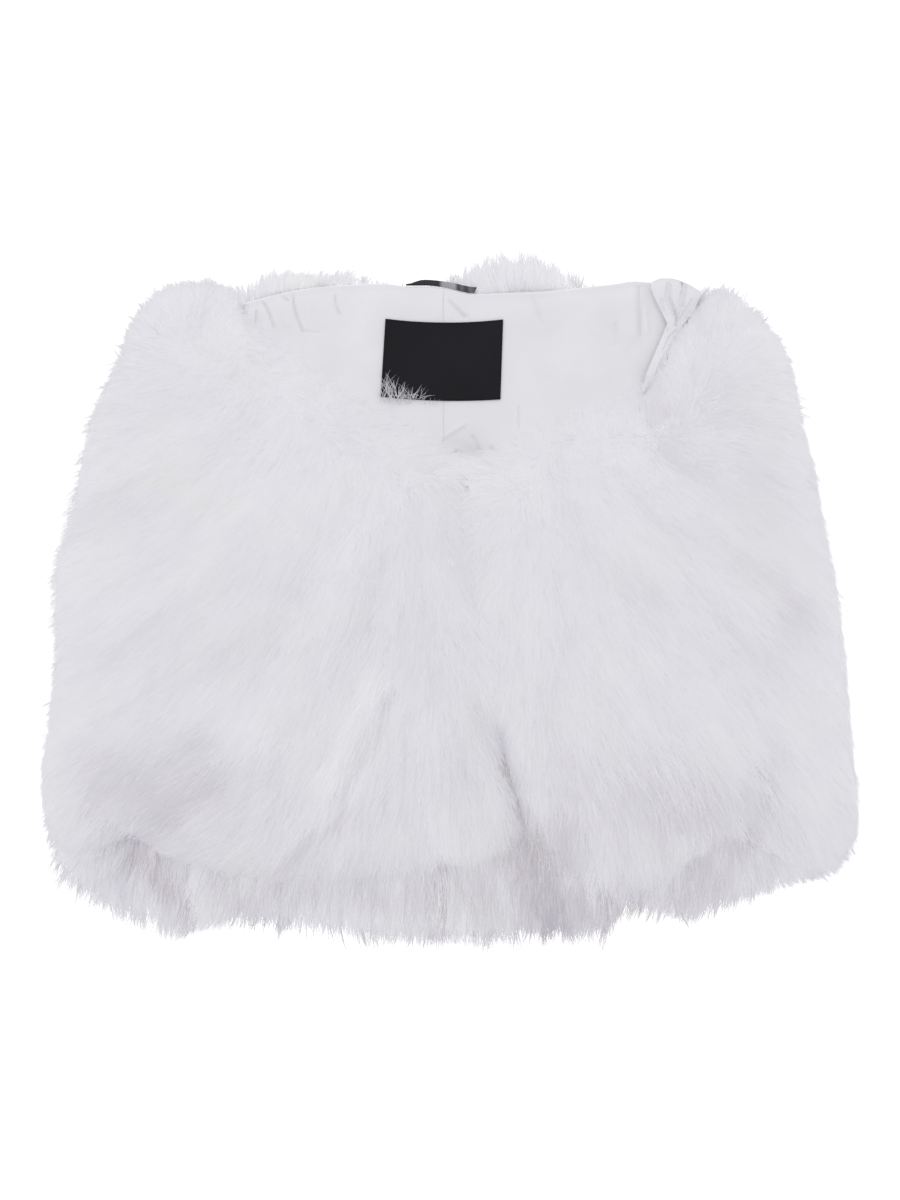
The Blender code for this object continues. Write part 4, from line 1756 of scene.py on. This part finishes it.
RIGHT_FLOW: Table = (
    (187, 227, 75, 25, 0.5), (211, 227, 62, 27, 0.5), (238, 204, 30, 20, 0.5), (252, 180, 0, 18, 0.5),
    (260, 148, -15, 21, 0.5), (270, 108, -22, 23, 0.5), (280, 52, -30, 25, 0.5), (291, 0, -45, 22, 0.5),
    (298, -70, -52, 22, 0.6), (302, -125, -45, 22, 0.5), (303, -155, -30, 22, 0.5),
    (284, -200, -45, 24, 0.6), (18, 102, 170, 18, 0.4), (28, 107, 120, 20, 0.4), (67, 126, 115, 24, 0.4),
    (117, 144, 125, 20, 0.4), (143, 154, 130, 19, 0.4), (152, 161, 140, 20, 0.4), (163, 189, 150, 16, 0.4),
    (180, 213, 140, 15, 0.4), (20, 50, -122, 20, 0.45), (28, 0, -120, 22, 0.45), (36, -60, -116, 24, 0.5),
    (46, -118, -106, 22, 0.6), (60, -166, -94, 26, 0.7), (72, -180, -104, 32, 0.7),
    (84, -193, -104, 34, 0.75), (94, -208, -94, 34, 0.75), (114, -217, -88, 34, 0.7),
    (144, -214, -98, 34, 0.7), (168, -206, -92, 32, 0.7), (186, -192, -85, 30, 0.7),
    (211, -176, -78, 36, 0.6), (240, -186, -74, 34, 0.6), (262, -197, -66, 32, 0.6), (60, 90, -75, 22, 0.4),
    (105, 105, -55, 22, 0.4), (150, 115, -40, 22, 0.4), (195, 170, 20, 20, 0.4), (220, 130, -10, 22, 0.4),
    (80, 50, -70, 26, 0.4), (140, 60, -50, 26, 0.4), (200, 70, -35, 26, 0.4), (250, 60, -35, 24, 0.4),
    (70, 0, -72, 30, 0.5), (130, 0, -58, 30, 0.5), (190, 0, -48, 30, 0.5), (250, 0, -45, 26, 0.5),
    (75, -60, -68, 32, 0.6), (130, -60, -58, 34, 0.6), (190, -60, -52, 32, 0.6), (250, -60, -52, 28, 0.55),
    (80, -120, -66, 34, 0.7), (130, -120, -60, 36, 0.7), (190, -115, -58, 34, 0.7),
    (245, -120, -55, 28, 0.6), (120, -170, -80, 34, 0.7), (180, -160, -78, 32, 0.7),
    (235, -160, -62, 28, 0.6),
)

BACK_FLOW: Table = (
    (-292, -194, 248, 36, 0.6), (-262, -213, 256, 46, 0.7), (-225, -230, 266, 40, 0.75),
    (-197, -242, 258, 42, 0.8), (-174, -233, 250, 40, 0.8), (-140, -239, 272, 34, 0.75),
    (-74, -247, 270, 35, 0.75), (-40, -250, 266, 36, 0.75), (-7, -253, 267, 39, 0.8),
    (59, -250, 272, 37, 0.75), (111, -245, 282, 37, 0.75), (130, -241, 264, 35, 0.75),
    (146, -226, 256, 30, 0.75), (185, -235, 252, 34, 0.8), (222, -217, 268, 38, 0.75),
    (260, -207, 286, 36, 0.7), (284, -200, 305, 32, 0.6), (-302, -165, 215, 22, 0.5),
    (-304, -130, 205, 22, 0.5), (-299, -90, 200, 22, 0.5), (-294, -30, 205, 22, 0.5),
    (-291, 30, 205, 28, 0.5), (-279, 62, 200, 30, 0.5), (-271, 108, 192, 28, 0.5),
    (-263, 148, 185, 18, 0.5), (-245, 186, 165, 18, 0.5), (-235, 214, 145, 23, 0.5),
    (-212, 234, 125, 20, 0.5), (-180, 238, 110, 20, 0.5), (-157, 226, 95, 24, 0.5),
    (-141, 242, 88, 20, 0.6), (-96, 245, 82, 18, 0.6), (-60, 239, 66, 20, 0.6), (-20, 232, 92, 16, 0.5),
    (10, 242, 112, 20, 0.7), (30, 252, 106, 26, 0.7), (60, 253, 92, 26, 0.7), (81, 247, 84, 26, 0.7),
    (98, 238, 66, 26, 0.7), (110, 230, 80, 18, 0.6), (165, 231, 90, 18, 0.6), (187, 227, 75, 25, 0.5),
    (211, 229, 62, 27, 0.5), (238, 206, 30, 18, 0.5), (253, 182, 0, 18, 0.5), (260, 148, -20, 18, 0.5),
    (270, 108, -22, 23, 0.5), (281, 52, -30, 25, 0.5), (292, 0, -45, 22, 0.5), (299, -70, -50, 22, 0.5),
    (302, -125, -40, 22, 0.5), (304, -155, -25, 22, 0.5), (300, -182, -35, 22, 0.5),
    (60, -190, 268, 30, 0.7), (70, -220, 270, 30, 0.7), (-100, -200, 262, 32, 0.7),
    (-230, -195, 262, 30, 0.7), (200, -195, 275, 30, 0.7), (40, -120, 280, 26, 0.6),
)

# x0, y0, x1, y1, half width (mm); then the change of tone (mostly painted light and shade), the share of warm
# or of cream locks, or how far the hairs of a lock differ in tone
TONE_AND_PAINTED_LIGHT = ToneAndPaintedLight(
    # painted light and shade: darker in the slit, the crevices, under the hems and along the partings;
    # lighter on the ridges, at the fringe, at the right edge and along the necklines
    painted_light_and_shade=(
        (-248, -160, -233, -173, 7, -0.30), (-233, -173, -217, -188, 8, -0.32),
        (-217, -188, -202, -200, 9, -0.30), (-256, -172, -236, -192, 14, -0.10),
        (-285, -206, -200, -246, 12, 0.10), (58, -166, 78, -238, 25, -0.28),
        (84, -158, 88, -188, 20, -0.16), (92, -208, 120, -226, 22, -0.18),
        (-215, -130, -190, -160, 36, -0.13), (-165, -200, -135, -222, 17, -0.16),
        (-240, -128, -160, -128, 42, -0.09), (-150, -196, 20, -200, 26, -0.07),
        (60, -130, 100, -130, 25, -0.06), (150, -130, 205, -140, 42, -0.09),
        (196, -186, 202, -206, 20, -0.14), (130, -196, 180, -200, 25, -0.06),
        (238, -14, 248, -2, 22, -0.07), (-150, 188, -40, 128, 22, 0.07), (28, 104, 140, 148, 20, 0.07),
        (-160, 236, -40, 240, 18, 0.20), (-10, 245, 105, 245, 20, 0.20), (-120, 80, -60, 76, 30, 0.04),
        (-165, -66, -150, -74, 26, 0.04), (150, 60, 170, 40, 30, 0.03), (196, 150, 214, 90, 26, -0.03),
        (150, 150, 152, 20, 30, -0.03), (20, 60, 36, -90, 24, -0.03), (-5, -180, -5, -254, 5, -0.22),
        (-191, -207, -194, -250, 4, -0.32), (130, -218, 132, -240, 6, -0.12),
        (196, -188, 200, -212, 14, -0.12), (-52, -55, -71, -88, 7, 0.16), (-71, -88, -84, -124, 7, 0.16),
        (-84, -135, -112, -158, 7, 0.08), (-43, -58, -60, -104, 5, -0.12), (-60, -104, -75, -124, 5, -0.12),
        (-66, -140, -104, -168, 6, -0.12), (-104, -168, -123, -198, 8, -0.10),
        (-262, -113, -257, -150, 3, -0.16), (233, -100, 226, -136, 11, -0.10),
        (226, -136, 214, -162, 13, -0.12), (214, -162, 177, -204, 15, -0.13),
        (110, -204, 130, -222, 8, -0.20), (-170, -228, 40, -234, 14, -0.08),
        (-130, -202, 30, -206, 9, -0.13), (-110, -219, 20, -223, 7, 0.06), (240, 200, 300, -150, 22, 0.08),
        (112, 227, 176, 229, 11, 0.05), (-44, 229, -12, 229, 9, 0.05),
    ),
    # warm locks: the warm undercoat and skin that show in the slit, a parting, the crevice and notches of the
    # hem; their darker warm hue also paints the shade of these recesses
    warm=(
        (37, -116, 46, -140, 3.4, 0.85), (46, -140, 58, -170, 4.2, 0.95), (58, -172, 74, -240, 16, 0.16),
        (-191, -207, -194, -250, 2.6, 0.5), (-248, -160, -204, -199, 4, 0.45),
        (112, -206, 128, -220, 6, 0.3), (30, -84, 34, -108, 2.6, 0.05), (196, -190, 204, -210, 13, 0.10),
    ),
    cream=((-190, 92, -180, 78, 26, 0.35),),
    streaks=(
        (-5, -182, -5, -254, 6, 0.24), (-191, -210, -191, -250, 5.5, 0.20), (130, -220, 132, -245, 6, 0.14),
        (-280, -215, -200, -245, 10, 0.05), (-170, -243, 120, -252, 10, 0.06),
        (140, -240, 260, -220, 10, 0.05), (36, -112, 58, -172, 7, 0.12), (150, -100, 185, -160, 22, 0.04),
        (146, -128, 156, -144, 5, 0.10), (209, -152, 219, -168, 6, 0.10), (222, -116, 236, -146, 7, 0.08),
        (283, -58, 299, -84, 6, 0.12), (104, -190, 128, -220, 9, 0.12), (62, -162, 74, -188, 8, 0.12),
        (-262, -150, -205, -200, 7, 0.06), (-130, -88, -104, -96, 4, 0.06), (112, 227, 176, 229, 11, 0.04),
        (-44, 229, -12, 229, 9, 0.04),
    ),
)

# x, y, how far the skin stays inside the outline, how far tips may pass it (mm)
LEFT_RIM: Table = (
    (-157, 226, 1, 14), (-180, 238, 8, 7), (-212, 234, 8, 8), (-245, 186, 8, 8), (-271, 108, 7, 17),
    (-291, 30, 7, 18), (-299, -90, 8, 12), (-302, -168, 8, 12), (-292, -194, 15, 2), (-268, -198, 20, -8),
    (-250, -180, 13, -6), (-232, -180, 12, -4), (-205, -199, 14, 2), (-155, -208, 15, 14),
    (-81, -211, 17, 14), (-12, -203, 17, 14), (36, -189, 12, 13), (55, -172, 4, 10), (47, -140, 1, 6),
    (40, -110, 0.5, 8), (33, -74, -0.5, 11), (28, -40, -0.7, 13), (22, 0, -0.7, 13), (16, 50, -0.7, 12),
    (11, 100, 0.5, 11), (-4, 111, 2, 10), (-37, 133, 3, 11), (-74, 148, 3.5, 12), (-121, 183, 4, 12),
    (-152, 200, 1, 13), (-279, 70, 6, 20),
)

RIGHT_RIM: Table = (
    (187, 227.5, 5, 12), (211, 229, 7, 13), (238, 206, 8, 6), (260, 148, 8, 9), (281, 52, 8, 11),
    (292, 0, 8, 10), (302, -125, 8, 9), (301, -180, 8, 10), (284, -201, 8, 13), (262, -199, 10, 16),
    (240, -188, 11, 17), (211, -178, 12, 18), (168, -208, 15, 14), (112, -220, 16, 14), (80, -188, 10, 13),
    (60, -174, 4, 10), (49, -140, 1, 6), (42, -110, 0.5, 8), (34, -74, -0.5, 11), (28, -40, -0.7, 13),
    (22, 0, -0.7, 13), (16, 50, -0.7, 12), (11, 100, 0.5, 11), (28, 107, 1.5, 12), (67, 126, 3.5, 12),
    (117, 144, 3.5, 11), (143, 154, 1.5, 12), (152, 161, 1, 11), (163, 189, 1, 6), (180, 213, 1.5, 6),
)

BACK_RIM: Table = (
    (-292, -194, 5, 29), (-262, -213, 7, 36), (-225, -230, 10, 28), (-197, -242, 14, 24),
    (-174, -233, 17, 21), (-140, -239, 18, 16), (-74, -247, 17, 25), (-7, -253, 19, 9), (59, -250, 17, 29),
    (111, -245, 13, 30), (130, -241, 15, 26), (146, -226, 17, 16), (185, -235, 15, 16), (222, -217, 11, 10),
    (260, -207, 9, 8), (284, -201, 7, 8), (302, -150, 8, 9), (299, -70, 8, 9), (292, 0, 8, 10),
    (270, 108, 8, 11), (253, 182, 8, 5), (211, 229, 8, 13), (187, 228, 7, 12), (165, 230, 8, -5),
    (140, 231, 8, -5), (112, 229, 7, -2), (98, 238, 8, 14), (81, 248, 9, 12), (60, 253, 10, 12),
    (30, 252, 10, 14), (10, 242, 7, 14), (-14, 232, 6, -3), (-28, 232, 6, 2), (-46, 231, 6, 7),
    (-60, 240, 7, 15), (-96, 246, 8, -1), (-141, 243, 8, 3), (-157, 226, 8, 15), (-180, 238, 8, 4),
    (-212, 234, 8, 8), (-245, 186, 8, 8), (-271, 108, 7, 17), (-291, 30, 7, 18), (-299, -90, 8, 11),
    (-302, -168, 8, 8), (-279, 70, 6, 20), (-4, 238, 7, 9),
)

# x0, y0, x1, y1, half width (mm), how gently the rim rises: at the necklines
LEFT_GENTLE: Table = (
    (-166, 228, -150, 200, 36, 0.7), (-136, 192, -37, 133, 34, 1.3), (-37, 133, 11, 104, 24, 1.5),
)
RIGHT_GENTLE: Table = (
    (11, 104, 67, 126, 22, 1.5), (67, 126, 143, 154, 22, 1.6), (152, 161, 187, 227, 16, 1.2),
)

# x0, y0, x1, y1, half width (mm), how upright the rim stands: where the fronts meet, and at the facing
JOIN: Table = ((11, 100, 22, 0, 16, 0.95), (22, 0, 33, -76, 16, 0.95), (152, 165, 182, 218, 10, 0.17))

# x0, y0, x1, y1, half width, rise (mm)
BACK_RIDGES: Table = (
    (-5, -190, -5, -252, 5, -3.5), (-191, -205, -191, -248, 5, -3.5), (128, -215, 130, -245, 6, -2.0),
    (-60, -215, -60, -250, 16, 1.2), (70, -215, 66, -250, 18, 1.2), (-120, -210, -125, -240, 12, -1.2),
)
FRONT_RIDGES: Table = (
    (11, 98, 22, 0, 9, 3.0), (22, 0, 33, -80, 9, 3.0), (-44, -47, -58, -82, 8, 2.4),
    (-58, -82, -82, -128, 8, 2.2), (-36, -62, -70, -126, 6, -1.6), (-92, -52, -120, -120, 16, -1.4),
    (-25, -20, -40, -60, 13, 1.4), (-150, 40, -190, 0, 22, 1.3), (-215, 60, -235, -20, 18, -1.3),
    (-120, 110, -60, 60, 18, -1.2), (-20, -130, -60, -170, 13, 1.4), (70, 60, 95, -10, 18, -1.3),
    (120, 40, 150, -60, 18, 1.5), (190, 60, 215, -40, 20, -1.3), (160, -100, 190, -150, 16, 1.4),
    (235, 120, 262, 20, 16, 1.2), (80, -80, 100, -150, 13, -1.2), (-252, -150, -206, -190, 7, 3.0),
    (-250, -161, -230, -177, 5, -5.0), (-230, -177, -206, -200, 6, -6.0), (-66, -140, -104, -168, 7, -1.6),
    (-104, -168, -123, -198, 8, -1.6), (-262, -113, -257, -150, 4, -1.4), (233, -100, 226, -136, 11, -2.2),
    (226, -136, 214, -162, 12, -2.6), (214, -162, 177, -204, 13, -3.0),
)

# x0, y0, x1, y1, half width, rise (mm)
LINING_CREASES: Table = (
    (-5, 236, -5, 208, 0.8, -0.5), (-5, 148, -5, 100, 0.8, -0.4), (-6.2, 236, -6.2, 208, 0.8, 0.3),
    (-117, 231, -116.6, 223.5, 1.1, -2.0), (-116.6, 223.5, -114.7, 213, 1.1, -2.0),
    (-114.7, 213, -109.4, 199.4, 1.1, -1.8), (-109.4, 199.4, -98, 198.6, 1.2, -0.7),
    (-113, 230, -107, 203, 2.6, 0.8), (-85.3, 226, -84.6, 218, 1.1, -1.6),
    (-84.6, 218, -81.8, 212.7, 1.1, -1.5), (-132.3, 227.5, -126.7, 226.7, 1.1, -1.3),
    (-126.7, 226.7, -120.5, 222.7, 1.1, -1.4), (-141, 223, -137, 218.7, 1.1, -1.5),
    (-137, 218.7, -134, 212, 1.1, -1.6), (-134, 212, -131, 203, 1.1, -1.7),
    (-144, 214.7, -144.7, 206.7, 1.1, -1.6), (-144.7, 206.7, -150, 192, 1.2, -1.5),
    (-150.7, 219.5, -151.6, 211.5, 1.0, -1.2), (-128, 222, -122, 206, 4.5, 1.0),
    (-140, 214, -139, 202, 2.6, 0.8), (-100, 226, -96, 208, 6, 0.7), (-1, 223, 4, 218, 1.3, -2.2),
    (4, 218, 11, 210.5, 1.4, -1.8), (1, 224, 12, 213, 2.4, 1.0), (-8, 232, -9, 211, 2.4, 0.5),
    (-5, 121, 11, 131, 2.0, 1.2), (17, 121, 21, 111, 1.6, -1.2), (31, 116, 38, 106, 2.0, 1.2),
    (5, 112, 20, 105, 3.0, 1.2), (62, 225, 67, 210, 1.6, -1.2), (67, 210, 76, 196, 2.0, -0.8),
    (51, 143, 51, 128, 0.9, -0.9), (40, 222, 52, 208, 6, 0.5), (-34, 140, -24, 126, 5, 0.4),
    (133.6, 232, 136, 215, 5.5, 1.7), (136, 215, 137, 198, 5.5, 1.6), (140.6, 232, 142, 197, 1.6, -2.0),
    (123, 205, 124, 190, 2.2, -1.3), (145, 216, 147, 200, 2.5, 0.8), (112, 228, 110, 200, 8, 0.8),
    (95, 215, 104, 175, 10, -0.9), (75, 205, 60, 165, 12, 0.7),
)

FACING_CREASES: Table = (
    (160.5, 235.5, 159.2, 228, 1.1, 2.38), (159.2, 228, 160.5, 222.5, 1.1, 2.38),
    (160.5, 222.5, 166.8, 209, 1.1, 2.21), (163.5, 233, 163, 224, 1.6, -1.7),
    (163, 224, 167.5, 211, 1.3, -2.21), (172.2, 235, 170.9, 228, 1.1, 2.04),
    (170.9, 228, 169, 221.8, 1.1, 2.04), (169, 221.8, 169.6, 213, 1.1, 1.7),
    (175, 232, 172.5, 218, 1.5, -1.7), (178.5, 223.6, 168.6, 208.3, 1.1, 2.04),
    (168, 209, 167.5, 204, 1.1, -2.04), (157, 222, 161.4, 200, 1.7, -1.7),
    (167.7, 202, 161.4, 195.8, 1.1, 1.53), (161.4, 195.8, 157.8, 187, 1.1, 1.36),
    (155, 178, 151, 168, 2.6, 2.72), (160, 183, 158, 177, 1.4, -1.53),
)


LEFT_HEART = (-128.0, 6.0)
RIGHT_HEART = (150.0, -8.0)
LINING_HEART = (15.0, 180.0)
# how much further than its outline the lining hides what lies below, and the lowest a hair may lie
LINING_COVER = 9.5 * MM
FLOOR_CLEAR = 0.2 * MM


def fur_pieces() -> list[FurPiece]:
    """The three fur pieces of the stole, from below upwards.

    Returns:
        The back, then the left and the right front.
    """
    back = FurPiece(
        "back", "back_fur", Shape.BACK, (0.0, 0.0), BACK_FLOW, BACK_RIM, Pile(2600, 11, 0.05, 11),
        flat=(0.66, 0.56), area=0.32, rests_on=("floor",), ridges=BACK_RIDGES,
        tips=Pile(
            1150, 8, 0.09, 17, loose=1.5 * MM, gather=0.93, stray=3.4 * MM, uneven=0.25, reach=5.0 * MM
        ),
        under=Pile(1600, 4, 0.03, 19, loose=5.0 * MM, clear=0.6 * MM),
    )
    fronts = (
        (
            "left", LEFT_HEART, LEFT_FLOW, LEFT_RIM, LEFT_GENTLE,
            (0.39, 0.47), 0.15, (4900, 23), (850, 29),
        ),
        (
            "right", RIGHT_HEART, RIGHT_FLOW, RIGHT_RIM, RIGHT_GENTLE,
            (0.32, 0.47), 0.12, (4000, 37), (750, 41),
        ),
    )
    return [back] + [
        FurPiece(
            f"front_{side}", f"front_{side}_fur", Shape.FRONT, heart, flow, rim,
            Pile(locks, 12, 0.016, seed, stray=3.2 * MM),
            flat=flat, area=area, rests_on=("back_skin",), upright=JOIN, ridges=FRONT_RIDGES, gentle=gentle,
            tips=Pile(
                tips, 6, 0.03, tips_seed,
                loose=2.2 * MM, gather=0.6, stray=8.0 * MM, uneven=0.5, reach=4.0 * MM,
            ),
        )
        for side, heart, flow, rim, gentle, flat, area, (locks, seed), (tips, tips_seed) in fronts
    ]


def satin_pieces() -> list[Lining | Facing]:
    """The satin pieces: both halves of the lining, and the right front's facing.

    Returns:
        The left half, the right half and the facing.
    """
    return [
        Lining("lining_left", "back_lining_left", (0.154, 0.131), 0.0129, LINING_CREASES, tuck=4.5 * MM),
        Lining("lining_right", "back_lining_right", (0.194, 0.139), 0.0190, LINING_CREASES, columns=170),
        Facing("facing_right", "front_right_facing", (0.046, 0.087), 0.0018, FACING_CREASES),
    ]


def measures() -> dict[Shape, tuple[Measure, Measure]]:
    """How deep each place is hidden, and how low a hair may lie, for the back and for the fronts.

    The back is hidden where a front or the lining covers it, and lies on the floor. Nothing lies on a
    front, and its hair lies on whatever is below it.

    Returns:
        For each shape, the two measures, both in metres.
    """
    halves = ("back_lining_left", "back_lining_right")
    covers = (
        (Outline.of(Solid.of("front_left_fur"), LEFT_HEART), 0.0),
        (Outline.of(Solid.of("front_right_fur"), RIGHT_HEART), 0.0),
        (Outline.of(Solid.of(*halves), LINING_HEART), LINING_COVER),
    )
    below = ("back_fur", *halves, "front_right_facing", "neck_label", "hanger_loop")
    bed = Crown([Solid.of(node) for node in below])

    def covered(x: Array, y: Array) -> Array:
        """How far each place lies inside the furthest outline that covers it."""
        return np.max([more - outline.outside(x, y) for outline, more in covers], axis=0)

    def everywhere(value: float) -> Measure:
        """The same value at each place."""
        return lambda x, y: np.full(np.shape(x), value)

    return {Shape.BACK: (covered, everywhere(FLOOR_CLEAR)), Shape.FRONT: (everywhere(-1.0), bed.at)}


def main() -> None:
    """Builds the stole piece by piece."""
    logging.basicConfig(level=logging.INFO, format="%(message)s")
    Studio().build()
    looks = Looks.make()
    hidden_and_ground = measures()
    for fur in fur_pieces():
        fur.build(*hidden_and_ground[fur.shape], TONE_AND_PAINTED_LIGHT, looks)
    for cloth in (*satin_pieces(), NeckLabel(), HangerLoop(), LabelWisps()):
        cloth.build(looks)


if __name__ == "__main__":
    main()
